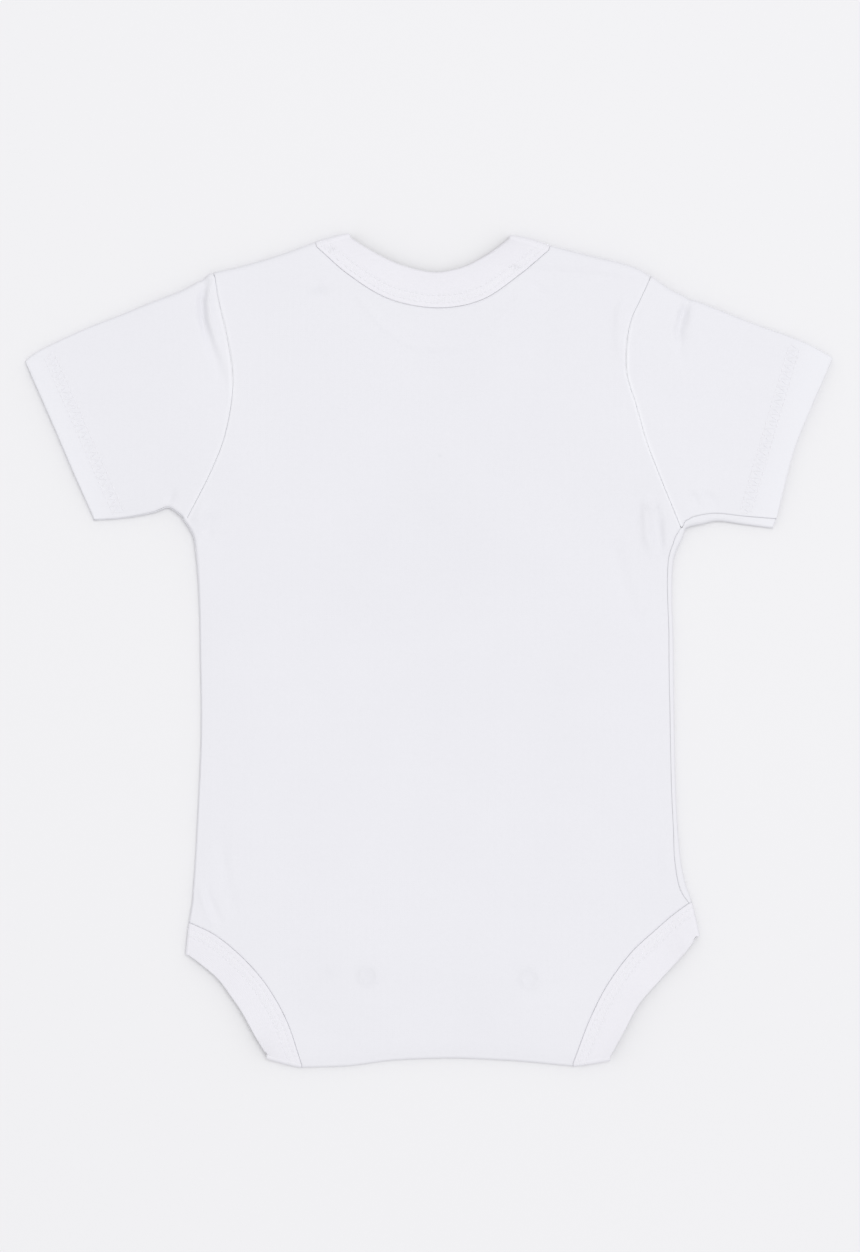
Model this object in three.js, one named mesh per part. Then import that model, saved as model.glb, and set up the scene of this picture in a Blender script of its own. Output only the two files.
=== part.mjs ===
// Baby bodysuit in cotton jersey: short set-in sleeves, lap shoulders and a snap crotch.
// It lies face down on a flat surface, so the back panel is on top and the front panel is under it.
// Units are millimetres. +Z is up, +Y runs to the neck, and left and right are the wearer's own.
// Every piece of cloth is a sheet: its middle is worked out on a grid, then moved out to both sides.

import * as THREE from 'three';

// Cloth thickness, seams and snaps
const WALL = 1.0;
const BAND_WALL = 1.4;
const SEAM_GAP = 0.3;
const SLEEVE_GAP = 0.4;
const WING_TIP = 3;
const BAND_LIFT = (BAND_WALL - WALL) / 2;
const LAYER_STEP = BAND_WALL + SEAM_GAP;
const SNAP_RADIUS = 5;
const SNAP_HOLE_RADIUS = 2.6;
const SNAP_THICKNESS = 0.6;
const CAP_RISE = SNAP_THICKNESS + SEAM_GAP;
const RING_RISE = 2 * CAP_RISE + WALL - BAND_WALL;

// Grid fineness
const SHOULDER_COLUMNS = 5;
const NECK_COLUMNS = 26;
const STRAP_ROWS = 4;
const LEG_COLUMNS = 8;
const CROTCH_COLUMNS = 12;
const ARMHOLE_ROWS = 9;
const SIDE_ROWS = 18;
const TURN_STEPS = 6;
const WING_ROWS = 5;
const FLAP_ROWS = 9;
const SLEEVE_STEPS = 9;
const BAND_COLUMNS = 3;
const WING_COLUMNS = 8;
const ARMHOLE_SEARCH = 400;
const KEY_SCALE = 500;
const SNAP_SIDES = 24;

// Middle of the outline in the tables' own axes
const OUTLINE_CENTRE = { x: 0.19, y: 0.25 };

// Loft: how far the upper layer stands off the one below, inside the seams
const BODY_LOFT = 1.1;
const SLEEVE_LOFT = 0.8;
const LOFT_LEFT = -109;
const LOFT_RIGHT = 116;
const LOFT_WIDTH = 30;
const SLEEVE_LOFT_SHARE = 0.4;

const table = (columns, rows) => rows.map((row) => (
  Object.fromEntries(columns.map((name, i) => [name, row[i]]))
));

// Armhole seams, from the shoulder fold down to the armpit
const ARMHOLE = {
  left: table(['x', 'y'], [
    [-99.9, 174.5], [-98.2, 164.0], [-94.4, 147.3], [-91.9, 131.8],
    [-91.9, 119.1], [-95.6, 99.6], [-102.2, 83.0], [-113.0, 62.0],
  ]),
  right: table(['x', 'y'], [
    [103.2, 173.1], [99.0, 164.0], [95.2, 155.8], [92.8, 144.7],
    [92.8, 129.3], [96.7, 116.3], [101.8, 98.5], [107.7, 83.0], [118.2, 57.5],
  ]),
};

// Side seams, from the armpit down to the leg opening
const SIDE = {
  left: table(['x', 'y'], [
    [-113.0, 62.0], [-109.7, 56.0], [-108.1, 44.0], [-107.0, 0.0],
    [-106.6, -40.0], [-108.6, -85.0], [-111.0, -128.0],
  ]),
  right: table(['x', 'y'], [
    [118.2, 57.5], [117.2, 52.0], [114.4, 43.0], [114.8, 0.0],
    [115.4, -47.0], [116.4, -77.0], [118.4, -100.0], [122.2, -118.5],
  ]),
};

// Where the cloth starts to turn under at each shoulder, from the armhole to the neck seam
const SHOULDER = {
  left: table(['x', 'y'], [[-99.9, 174.5], [-87.7, 177.3], [-77.4, 180.2], [-64.2, 184.4], [-52.3, 188.9]]),
  right: table(['x', 'y'], [[103.2, 173.1], [96.2, 176.9], [86.8, 179.7], [75.0, 182.5], [56.2, 187.3]]),
};
const SHOULDER_FACING = { left: [-0.289, 0.957], right: [0.288, 0.957] };

// Where the leg bindings turn under at the sides
const LEG_FACING = { left: [-0.996, 0.093], right: [0.978, 0.209] };

// Where the back panel starts to turn under at the crotch, from left to right
const CROTCH = table(['x', 'y'], [
  [-59.5, -194.0], [-37.0, -193.2], [-18.0, -190.7], [9.0, -189.6], [38.0, -190.7], [67.8, -193.4],
]);
const CROTCH_FACING = [0, -1];

// Bindings: a row for each station, with its place on the seam and on the free edge
const STRIP = ['seamX', 'seamY', 'edgeX', 'edgeY'];
const BACK_NECK = table(STRIP, [
  [-52.3, 188.9, -36.3, 193.7],
  [-36.9, 175.5, -26.5, 187.4],
  [-18.1, 164.5, -12.0, 180.6],
  [5.4, 160.5, 4.0, 177.4],
  [25.0, 164.2, 17.5, 180.3],
  [42.0, 175.4, 29.0, 186.5],
  [56.2, 187.3, 37.5, 192.9],
]);
const BACK_WING = {
  left: table(STRIP, [
    [-52.3, 188.9, -36.3, 193.7],
    [-60.0, 167.0, -44.5, 161.0],
    [-73.0, 148.0, -60.5, 137.3],
    [-91.5, 133.0, -91.8, 112.5],
  ]),
  right: table(STRIP, [
    [56.2, 187.3, 37.5, 192.9],
    [63.0, 167.0, 47.0, 161.0],
    [75.5, 148.0, 63.0, 137.3],
    [92.4, 133.0, 96.2, 114.0],
  ]),
};
const FRONT_NECK = table(STRIP, [
  [-60.0, 185.9, -44.0, 191.6],
  [-50.0, 161.0, -32.5, 165.0],
  [-36.0, 140.0, -21.0, 151.0],
  [-15.0, 127.5, -9.5, 143.5],
  [5.0, 124.5, 5.0, 141.0],
  [25.0, 127.5, 19.5, 143.5],
  [46.0, 141.0, 31.0, 152.0],
  [58.0, 161.0, 42.0, 166.0],
  [64.5, 185.0, 46.0, 190.2],
]);
const FRONT_WING = {
  left: table(STRIP, [
    [-60.0, 185.9, -44.0, 191.6],
    [-66.0, 168.0, -51.3, 161.0],
    [-77.0, 152.0, -65.3, 140.4],
    [-92.4, 140.0, -91.3, 120.5],
  ]),
  right: table(STRIP, [
    [64.5, 185.0, 46.0, 190.2],
    [69.5, 168.0, 54.0, 161.0],
    [79.0, 152.0, 67.0, 140.4],
    [92.0, 140.0, 94.0, 121.0],
  ]),
};
const BACK_LEG = {
  left: table(STRIP, [
    [-111.0, -128.0, -112.4, -143.0],
    [-101.0, -132.8, -106.5, -147.4],
    [-90.5, -140.8, -99.0, -153.8],
    [-81.1, -150.2, -93.3, -161.2],
    [-74.0, -159.6, -87.9, -169.0],
    [-66.0, -174.5, -81.0, -181.3],
    [-59.5, -194.0, -76.0, -189.4],
  ]),
  right: table(STRIP, [
    [122.2, -118.5, 125.6, -134.4],
    [115.9, -122.9, 121.0, -141.0],
    [106.5, -130.9, 116.2, -146.4],
    [95.6, -140.8, 108.4, -154.7],
    [88.1, -150.2, 101.3, -162.5],
    [82.0, -159.6, 97.0, -168.4],
    [75.0, -174.0, 91.6, -178.7],
    [67.8, -193.4, 85.2, -190.2],
  ]),
};
const FRONT_LEG = {
  left: table(STRIP, [
    [-111.0, -128.0, -112.4, -143.0],
    [-95.0, -129.0, -98.0, -144.8],
    [-77.0, -132.5, -81.5, -148.0],
    [-60.0, -138.5, -68.0, -152.5],
    [-46.0, -148.0, -58.5, -157.5],
    [-37.0, -161.0, -54.0, -161.0],
  ]),
  right: table(STRIP, [
    [122.2, -118.5, 125.6, -134.4],
    [106.0, -122.0, 110.5, -138.0],
    [90.0, -127.0, 96.0, -142.3],
    [76.0, -134.0, 84.5, -148.5],
    [64.5, -144.0, 76.5, -155.0],
    [56.0, -161.0, 73.0, -161.0],
  ]),
};
const FLAP_SIDE = {
  left: table(STRIP, [
    [-59.5, -194.0, -76.0, -189.4],
    [-52.0, -175.0, -68.5, -172.0],
    [-45.5, -158.0, -61.8, -156.0],
    [-41.0, -142.0, -57.0, -142.0],
  ]),
  right: table(STRIP, [
    [67.8, -193.4, 85.2, -190.2],
    [62.5, -175.0, 79.0, -172.5],
    [58.5, -158.0, 74.8, -156.5],
    [56.0, -142.0, 72.0, -142.0],
  ]),
};

// Sleeves: where the cloth starts to turn under along the top edge, the cuff, and the underarm seam
const SLEEVE_TOP = {
  left: table(['x', 'y'], [
    [-100.3, 174.5], [-113.9, 166.6], [-129.9, 160.7], [-144.2, 155.4], [-158.4, 150.4],
    [-182.0, 139.4], [-188.8, 134.8],
  ]),
  right: table(['x', 'y'], [
    [103.6, 173.1], [112.6, 166.7], [121.8, 162.6], [134.2, 158.1], [150.4, 152.3],
    [174.0, 144.1], [189.2, 136.2],
  ]),
};
const SLEEVE_FACING = { left: [-0.419, 0.908], right: [0.407, 0.913] };
const CUFF = {
  left: table(['x', 'y'], [[-188.8, 134.8], [-175.1, 103.6], [-167.1, 84.8], [-157.2, 61.3]]),
  right: table(['x', 'y'], [[189.2, 136.2], [179.1, 113.0], [171.6, 94.2], [161.9, 57.6]]),
};
const UNDERARM = {
  left: table(['x', 'y'], [
    [-113.4, 62.0], [-117.0, 65.2], [-122.0, 67.9], [-129.0, 65.5], [-142.0, 62.6], [-157.2, 61.3],
  ]),
  right: table(['x', 'y'], [
    [118.6, 57.5], [122.5, 59.4], [128.5, 60.5], [135.0, 61.6], [148.0, 59.6], [161.9, 57.6],
  ]),
};

// Snaps, on the overlap of the front tab and the back flap
const SNAPS = {
  left: { x: -28.4, y: -151.6 },
  right: { x: 47.2, y: -153.0 },
};

// Outlines that hidden layers fill, which the layers above them have to clear
const LAPPED_SHOULDER = {
  left: table(['x', 'y'], [[-103, 180], [-92, 110], [-60, 135], [-44, 158], [-35, 198]]),
  right: table(['x', 'y'], [[36, 198], [46, 158], [62, 135], [98, 110], [106, 179]]),
};
const FLAP_AREA = table(['x', 'y'], [[-80, -205], [88, -205], [78, -139], [-63, -139]]);
const OPEN_NECK = table(['x', 'y'], [[-8, 156], [18, 156], [12, 190], [-2, 190]]);

// How the upper layer comes down beside what it clears: a level margin, then a slope
const SHOULDER_MARGIN = 7;
const SHOULDER_SLOPE = 60;
const FRONT_SLOPE = 25;
const FLAP_MARGIN = 3;
const FLAP_SLOPE = 28;
const LEG_RISE_START = -100;
const LEG_RISE_LENGTH = 17;
const NECK_DROP = 1.4;
const NECK_SLOPE = 24;
const TAB_STEP_START = -181;
const TAB_STEP_END = -167;
const SNAP_MARGIN = 11;
const SNAP_SLOPE = 11;

// Main creases, as soft troughs (depth below zero) and ridges between two points
const CREASES = table(['fromX', 'fromY', 'toX', 'toY', 'width', 'depth'], [
  [-105.5, 165.0, -103.5, 143.0, 3.5, -0.8],
  [-103.5, 143.0, -95.0, 118.0, 4.0, -0.4],
  [119.0, 160.0, 117.5, 143.0, 3.5, -0.6],
  [96.0, 60.0, 110.0, 40.0, 4.5, 0.5],
  [86.0, 48.0, 99.0, 6.0, 6.0, -0.4],
  [-103.0, -92.0, -98.0, -126.0, 4.0, -0.4],
]);

const JERSEY = { color: 0xedecf2, roughness: 0.95, metalness: 0 };
const BINDING = { color: 0xefeef4, roughness: 0.92, metalness: 0 };
const SNAP_METAL = { color: 0xc9cace, roughness: 0.35, metalness: 0.9 };

// Heights

const layer = (number) => WALL / 2 + number * LAYER_STEP;
const SIDE_SEAM_HEIGHT = WALL / 2 + WALL + SEAM_GAP;

function smooth(share) {
  const s = Math.min(1, Math.max(0, share));
  return s * s * (3 - 2 * s);
}

// One within the margin of an outline, falling to nothing across the slope
const fade = (distance, margin, slope) => 1 - smooth((distance - margin) / slope);

const mix = (a, b, share) => a + (b - a) * share;

// How far a point lies outside a convex outline whose corners run anticlockwise
function outside(corners, x, y) {
  const distances = corners.map((a, i) => {
    const b = corners[(i + 1) % corners.length];
    const cross = (x - a.x) * (b.y - a.y) - (y - a.y) * (b.x - a.x);
    return cross / Math.hypot(b.x - a.x, b.y - a.y);
  });
  return Math.max(...distances);
}

function shoulderShare(x, y, slope) {
  const distance = Math.min(...Object.values(LAPPED_SHOULDER).map((area) => outside(area, x, y)));
  return fade(distance, SHOULDER_MARGIN, slope);
}

function snapShare(x, y) {
  const distance = Math.min(...Object.values(SNAPS).map((snap) => Math.hypot(x - snap.x, y - snap.y)));
  return fade(distance, SNAP_MARGIN, SNAP_SLOPE);
}

function creaseHeight(x, y) {
  let height = 0;
  for (const crease of CREASES) {
    const dx = crease.toX - crease.fromX;
    const dy = crease.toY - crease.fromY;
    const along = ((x - crease.fromX) * dx + (y - crease.fromY) * dy) / (dx * dx + dy * dy);
    const near = Math.min(1, Math.max(0, along));
    const away = Math.hypot(x - crease.fromX - near * dx, y - crease.fromY - near * dy);
    height += crease.depth * Math.exp(-((away / crease.width) ** 2));
  }
  return height;
}

// Upper layer of the body: it lofts between the side seams, sinks in the open neck, and clears
// the leg bindings, the flap with its snap rings, and the lapped shoulders
function backHeight({ x, y }) {
  const loft = BODY_LOFT * smooth(Math.min(x - LOFT_LEFT, LOFT_RIGHT - x) / LOFT_WIDTH);
  const legRise = (BAND_WALL - WALL) * smooth((LEG_RISE_START - y) / LEG_RISE_LENGTH);
  const neckDrop = NECK_DROP * fade(outside(OPEN_NECK, x, y), 0, NECK_SLOPE);
  const body = SIDE_SEAM_HEIGHT + loft + legRise - neckDrop;
  const overFlap = layer(2) + RING_RISE * snapShare(x, y);
  const flap = fade(outside(FLAP_AREA, x, y), FLAP_MARGIN, FLAP_SLOPE);
  const lower = mix(body, overFlap, flap) + creaseHeight(x, y);
  return mix(lower, layer(3), shoulderShare(x, y, SHOULDER_SLOPE));
}

// Upper layer of a sleeve: v runs from its folded top edge to its underarm seam
function sleeveHeight({ x, y, v }) {
  const loft = SLEEVE_LOFT * smooth((1 - v) / SLEEVE_LOFT_SHARE);
  const free = SIDE_SEAM_HEIGHT + loft + creaseHeight(x, y);
  return mix(free, layer(3), shoulderShare(x, y, SHOULDER_SLOPE));
}

const floorHeight = () => layer(0);

// Front panel: on the floor, over the folded back wings and over the snap caps
function frontHeight({ x, y }) {
  return layer(0) + LAYER_STEP * shoulderShare(x, y, FRONT_SLOPE) + CAP_RISE * snapShare(x, y);
}

const frontWingHeight = (point) => frontHeight(point) + LAYER_STEP;

// Back flap: on the floor beside the fold, then over the front tab
function flapHeight({ x, y }) {
  const step = smooth((y - TAB_STEP_START) / (TAB_STEP_END - TAB_STEP_START));
  return layer(0) + LAYER_STEP * step + CAP_RISE * snapShare(x, y);
}

// Curves and grids

const curveThrough = (rows, x = 'x', y = 'y') => (
  new THREE.CatmullRomCurve3(rows.map((row) => new THREE.Vector3(row[x], row[y], 0)), false, 'centripetal')
);

const range = (count) => Array.from({ length: count + 1 }, (_, i) => i / count);
const evenly = (rows, count) => range(count).map((share) => curveThrough(rows).getPointAt(share));
const seamLine = (rows, count) => range(count).map((share) => (
  curveThrough(rows, 'seamX', 'seamY').getPoint(share)
));
const reversed = (list) => [...list].reverse();
const joined = (...lists) => lists.reduce((all, list) => [...all, ...list.slice(1)]);

// A grid that fills four edges, each blended with the one opposite
function filled(top, bottom, left, right) {
  const lastColumn = top.length - 1;
  const lastRow = left.length - 1;
  return left.map((_, row) => top.map((__, column) => {
    const u = column / lastColumn;
    const v = row / lastRow;
    const blend = (axis) => (
      mix(top[column][axis], bottom[column][axis], v) + mix(left[row][axis], right[row][axis], u)
      - mix(mix(top[0][axis], top[lastColumn][axis], u), mix(bottom[0][axis], bottom[lastColumn][axis], u), v)
    );
    return { x: blend('x'), y: blend('y'), u, v };
  }));
}

// A spot on the cloth's middle: its plan place, the two heights that a fold joins there,
// how far round the fold it is (0 on the upper layer, 1 on the lower one) and where the fold faces
const spot = (point, high, low, turn, facing = [0, 0]) => ({
  x: point.x, y: point.y, high, low, turn, facing,
});
const upperLayer = (grid, height) => (
  grid.map((row) => row.map((point) => spot(point, height(point), height(point), 0)))
);
const lowerLayer = (grid, height) => (
  grid.map((row) => row.map((point) => spot(point, height(point), height(point), 1)))
);
const folded = (line, high, low, facing) => range(TURN_STEPS).map((turn) => (
  line.map((point) => spot(point, high(point), low(point), turn, facing))
));

function place({ x, y, high, low, turn, facing }, offset, lift) {
  const angle = Math.PI * turn;
  const radius = (high - low) / 2 + offset;
  const reach = radius * Math.sin(angle);
  return new THREE.Vector3(
    x + facing[0] * reach,
    y + facing[1] * reach,
    (high + low) / 2 + radius * Math.cos(angle) + lift,
  );
}

// Places along a line and across a binding, from just off the seam to the free edge
function across(seam, edge) {
  const gap = SEAM_GAP / seam.distanceTo(edge);
  return range(BAND_COLUMNS).map((share) => seam.clone().lerp(edge, mix(gap, 1, share)));
}

function stripGrid(rows, count) {
  const seam = curveThrough(rows, 'seamX', 'seamY');
  const edge = curveThrough(rows, 'edgeX', 'edgeY');
  return range(count).map((share) => across(seam.getPoint(share), edge.getPoint(share)));
}

// A closed sheet from grids of spots that share their edge spots
function clothGeometry(grids, wall, lift = 0) {
  const numbers = new Map();
  const middle = [];
  const outer = [];
  const inner = [];
  const numberOf = (cell) => {
    const centre = place(cell, 0, lift);
    const key = centre.toArray().map((value) => Math.round(value * KEY_SCALE)).join();
    if (!numbers.has(key)) {
      numbers.set(key, middle.length);
      middle.push(centre);
      outer.push(place(cell, wall / 2, lift));
      inner.push(place(cell, -wall / 2, lift));
    }
    return numbers.get(key);
  };

  const faces = [];
  for (const grid of grids) {
    for (let row = 1; row < grid.length; row += 1) {
      for (let column = 1; column < grid[row].length; column += 1) {
        const corners = [
          grid[row - 1][column - 1], grid[row][column - 1], grid[row][column], grid[row - 1][column],
        ].map(numberOf);
        faces.push(...twoTriangles(corners, middle, outer, inner));
      }
    }
  }

  const half = middle.length;
  const used = new Set(faces.flatMap(([a, b, c]) => [`${a},${b}`, `${b},${c}`, `${c},${a}`]));
  const triangles = [];
  for (const [a, b, c] of faces) {
    triangles.push([a, b, c], [half + c, half + b, half + a]);
    for (const [from, to] of [[a, b], [b, c], [c, a]]) {
      if (!used.has(`${to},${from}`)) {
        triangles.push([to, from, half + from], [to, half + from, half + to]);
      }
    }
  }

  const geometry = new THREE.BufferGeometry();
  const points = [...outer, ...inner].flatMap((point) => point.toArray());
  geometry.setAttribute('position', new THREE.Float32BufferAttribute(points, 3));
  geometry.setIndex(triangles.flat());
  geometry.computeVertexNormals();
  return geometry;
}

// Cuts a four-cornered face along the diagonal that leaves the fuller triangles, facing outwards
function twoTriangles([a, b, c, d], middle, outer, inner) {
  const outward = outer[a].clone().sub(inner[a]).normalize();
  const signedArea = ([p, q, r]) => {
    const first = middle[q].clone().sub(middle[p]);
    const second = middle[r].clone().sub(middle[p]);
    return first.cross(second).dot(outward) / 2;
  };
  const cuts = [[[a, b, c], [a, c, d]], [[a, b, d], [b, c, d]]];
  const side = Math.sign(cuts[0].map(signedArea).reduce((sum, area) => sum + area));
  const least = (pair) => Math.min(...pair.map((corners) => side * signedArea(corners)));
  const pair = least(cuts[0]) >= least(cuts[1]) ? cuts[0] : cuts[1];
  return side > 0 ? pair : pair.map((corners) => corners.reverse());
}

// Pieces

const SIDES = ['left', 'right'];
const bodyEdge = (side) => joined(evenly(ARMHOLE[side], ARMHOLE_ROWS), evenly(SIDE[side], SIDE_ROWS));
const line = (from, to, count) => range(count).map((share) => (
  { x: mix(from.x, to.x, share), y: mix(from.y, to.y, share) }
));
const last = (list) => list[list.length - 1];

// The shoulder fold of a panel, from the armhole to where its own neck seam crosses the fold
const shoulderFold = (side, strip) => evenly(
  [...SHOULDER[side].slice(0, -1), { x: strip[0].seamX, y: strip[0].seamY }],
  SHOULDER_COLUMNS,
);

// The wing of a panel past a shoulder fold: it narrows to a point at the armhole
function wingGrid(side, fold, strip) {
  const seam = seamLine(strip, WING_ROWS);
  const armhole = curveThrough(ARMHOLE[side]);
  const wingEnd = last(seam).y + WING_TIP;
  const reach = range(ARMHOLE_SEARCH).find((share) => armhole.getPointAt(share).y < wingEnd);
  const edge = range(WING_ROWS).map((share) => armhole.getPointAt(share * reach));
  return filled(fold, line(last(edge), last(seam), SHOULDER_COLUMNS), edge, seam);
}

// The layer of a panel that lies flat: a strap on each side of the neck, and the body below them
function bodyGrids(folds, neck, legs, crotch) {
  const neckSeam = seamLine(neck, NECK_COLUMNS);
  const sides = { left: bodyEdge('left'), right: bodyEdge('right') };
  const neckSides = { left: neckSeam, right: reversed(neckSeam) };
  const straps = SIDES.map((side) => {
    const outer = sides[side].slice(0, STRAP_ROWS + 1);
    const inner = neckSides[side].slice(0, STRAP_ROWS + 1);
    return filled(folds[side], line(last(outer), last(inner), SHOULDER_COLUMNS), outer, inner);
  });
  const [left, right] = straps.map(last);
  const top = joined(left, neckSeam.slice(STRAP_ROWS, -STRAP_ROWS), reversed(right));
  const bottom = joined(
    seamLine(legs.left, LEG_COLUMNS),
    crotch,
    reversed(seamLine(legs.right, LEG_COLUMNS)),
  );
  return [...straps, filled(top, bottom, sides.left.slice(STRAP_ROWS), sides.right.slice(STRAP_ROWS))];
}

// The back turns under at both shoulders, as wings that lap over the front, and at the crotch
function backPanel() {
  const folds = {
    left: shoulderFold('left', BACK_WING.left),
    right: shoulderFold('right', BACK_WING.right),
  };
  const crotch = evenly(CROTCH, CROTCH_COLUMNS);
  const flapLeft = seamLine(FLAP_SIDE.left, FLAP_ROWS);
  const flapRight = seamLine(FLAP_SIDE.right, FLAP_ROWS);
  const flapEnd = line(last(flapLeft), last(flapRight), CROTCH_COLUMNS);
  return clothGeometry([
    ...bodyGrids(folds, BACK_NECK, BACK_LEG, crotch).map((grid) => upperLayer(grid, backHeight)),
    folded(crotch, backHeight, flapHeight, CROTCH_FACING),
    lowerLayer(filled(crotch, flapEnd, flapLeft, flapRight), flapHeight),
    ...SIDES.flatMap((side) => [
      folded(folds[side], backHeight, floorHeight, SHOULDER_FACING[side]),
      lowerLayer(wingGrid(side, folds[side], BACK_WING[side]), floorHeight),
    ]),
  ], WALL);
}

// The front lies on the floor and ends in a tab; its wings turn up inside the shoulders
function frontPanel() {
  const folds = {
    left: shoulderFold('left', FRONT_WING.left),
    right: shoulderFold('right', FRONT_WING.right),
  };
  const tabEnd = line(
    last(seamLine(FRONT_LEG.left, LEG_COLUMNS)),
    last(seamLine(FRONT_LEG.right, LEG_COLUMNS)),
    CROTCH_COLUMNS,
  );
  return clothGeometry([
    ...bodyGrids(folds, FRONT_NECK, FRONT_LEG, tabEnd).map((grid) => lowerLayer(grid, frontHeight)),
    ...SIDES.flatMap((side) => [
      folded(folds[side], frontWingHeight, frontHeight, SHOULDER_FACING[side]),
      upperLayer(wingGrid(side, folds[side], FRONT_WING[side]), frontWingHeight),
    ]),
  ], WALL);
}

// A neck binding is one strip: its middle on one layer of the body and its ends on the wings
function neckBinding(neck, wings, middleLayer, wingLayer, high, low, height, wingHeight) {
  const middle = stripGrid(neck, NECK_COLUMNS);
  const ends = { left: middle[0], right: last(middle) };
  return clothGeometry([
    middleLayer(middle, height),
    ...SIDES.flatMap((side) => [
      folded(ends[side], high, low, SHOULDER_FACING[side]),
      wingLayer(stripGrid(wings[side], WING_COLUMNS), wingHeight),
    ]),
  ], BAND_WALL, BAND_LIFT);
}

// A leg binding is one strip: flap edge, crotch fold, back leg, side fold, front leg
function legBinding(side) {
  const backLeg = stripGrid(BACK_LEG[side], LEG_COLUMNS);
  return clothGeometry([
    lowerLayer(stripGrid(FLAP_SIDE[side], FLAP_ROWS), flapHeight),
    folded(last(backLeg), backHeight, flapHeight, CROTCH_FACING),
    upperLayer(backLeg, backHeight),
    folded(backLeg[0], backHeight, frontHeight, LEG_FACING[side]),
    lowerLayer(stripGrid(FRONT_LEG[side], LEG_COLUMNS), frontHeight),
  ], BAND_WALL, BAND_LIFT);
}

// A sleeve is one piece folded along its top edge, with both layers open at the cuff
function sleeve(side) {
  const outward = side === 'left' ? -SLEEVE_GAP : SLEEVE_GAP;
  const armhole = evenly(ARMHOLE[side], ARMHOLE_ROWS).map(({ x, y }) => ({ x: x + outward, y }));
  const grid = filled(
    evenly(SLEEVE_TOP[side], SLEEVE_STEPS),
    evenly(UNDERARM[side], SLEEVE_STEPS),
    armhole,
    evenly(CUFF[side], ARMHOLE_ROWS),
  );
  return clothGeometry([
    upperLayer(grid, sleeveHeight),
    folded(grid[0], sleeveHeight, floorHeight, SLEEVE_FACING[side]),
    lowerLayer(grid, floorHeight),
  ], WALL);
}

// A round snap plate with a softened rim, standing on its own base; a ring has a hole
function snapPlate(holeRadius) {
  const rim = SNAP_THICKNESS / 2;
  const profile = [
    [holeRadius, 0],
    [SNAP_RADIUS, 0],
    [SNAP_RADIUS, rim],
    [SNAP_RADIUS - rim, SNAP_THICKNESS],
    [holeRadius ? holeRadius + rim : 0, SNAP_THICKNESS],
    ...(holeRadius ? [[holeRadius, rim], [holeRadius, 0]] : []),
  ].map(([radius, height]) => new THREE.Vector2(radius, height));
  return new THREE.LatheGeometry(profile, SNAP_SIDES).rotateX(Math.PI / 2);
}

// The assembled garment, moved so that its outline is centred on the origin

const group = new THREE.Group();
group.position.set(-OUTLINE_CENTRE.x, -OUTLINE_CENTRE.y, 0);

function add(name, geometry, finish, x = 0, y = 0, z = 0) {
  const mesh = new THREE.Mesh(geometry, new THREE.MeshStandardMaterial(finish));
  mesh.name = name;
  mesh.position.set(x, y, z);
  group.add(mesh);
}

add('back_panel', backPanel(), JERSEY);
add('front_panel', frontPanel(), JERSEY);
add('back_neck_binding', neckBinding(
  BACK_NECK, BACK_WING, upperLayer, lowerLayer, backHeight, floorHeight, backHeight, floorHeight,
), BINDING);
add('front_neck_binding', neckBinding(
  FRONT_NECK, FRONT_WING, lowerLayer, upperLayer, frontWingHeight, frontHeight, frontHeight,
  frontWingHeight,
), BINDING);
for (const side of SIDES) {
  add(`sleeve_${side}`, sleeve(side), JERSEY);
  add(`leg_binding_${side}`, legBinding(side), BINDING);
  const { x, y } = SNAPS[side];
  const flapTop = flapHeight(SNAPS[side]) + WALL / 2;
  add(`snap_cap_${side}`, snapPlate(0), SNAP_METAL, x, y, 0);
  add(`snap_ring_${side}`, snapPlate(SNAP_HOLE_RADIUS), SNAP_METAL, x, y, flapTop + SEAM_GAP);
}

export default group;
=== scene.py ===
"""Baby bodysuit in white cotton jersey, laid flat and face down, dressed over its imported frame.

The tables are in millimetres, in the plan axes of the cut: +x to the right sleeve and +y to the neck.
Every piece of cloth is a thin sheet worked out on grids: its middle first, then both faces. Meshes are
made in metres.
"""
import math
from collections import namedtuple

import bpy
import numpy as np
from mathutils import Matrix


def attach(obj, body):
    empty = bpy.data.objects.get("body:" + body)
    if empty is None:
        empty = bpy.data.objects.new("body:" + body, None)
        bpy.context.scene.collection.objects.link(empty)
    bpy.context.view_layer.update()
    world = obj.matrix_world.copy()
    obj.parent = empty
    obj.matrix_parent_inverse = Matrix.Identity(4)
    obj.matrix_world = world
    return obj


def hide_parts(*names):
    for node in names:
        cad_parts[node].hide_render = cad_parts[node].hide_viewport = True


MM = 0.001
SIDES = ("left", "right")
TOWARD_CUFF = {"left": -1, "right": 1}

# Cloth: the layers keep the heights of the frame's solids, and the cloth is a little thinner
WALL = 1.0
BAND_WALL = 1.4
SEAM_GAP = 0.3
CLOTH = 0.9
BAND_CLOTH = 1.15
HEM_EXTRA = 0.25
CLOTH_GAP = 0.016
ARMHOLE_GAPS = (0.0, 0.045)
WING_TIP = 3.0
BAND_LIFT = (BAND_CLOTH - CLOTH) / 2
LAYER_STEP = BAND_WALL + SEAM_GAP
SIDE_SEAM_HEIGHT = WALL / 2 + WALL + SEAM_GAP
SNAP_THICKNESS = 0.6
CAP_RISE = SNAP_THICKNESS + SEAM_GAP
RING_RISE = 2 * CAP_RISE + WALL - BAND_WALL
OUTLINE_CENTRE = (0.19, 0.25)

# Rims and seams: how far the rounding of a rim reaches in, by how deep the seam beside it shows
RIM_SHARES = (0.006, 0.34)
FREE_RIM_SHARE = 0.36
TIGHT_SHARE = 0.07
SEAM_DEPTHS = (0.2, 0.6)
SEAM_NEAR = 1.5
RIM_ANGLES = (45, 0, -45)

# A closed armhole seam shows as a low ridge, with a pale painted highlight along it that a mesh
# attribute carries
SEAM_RIDGE = 0.08
SEAM_RIDGE_WIDTH = 1.1
SEAM_HIGHLIGHT_ATTRIBUTE = "closed_seam"

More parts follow.
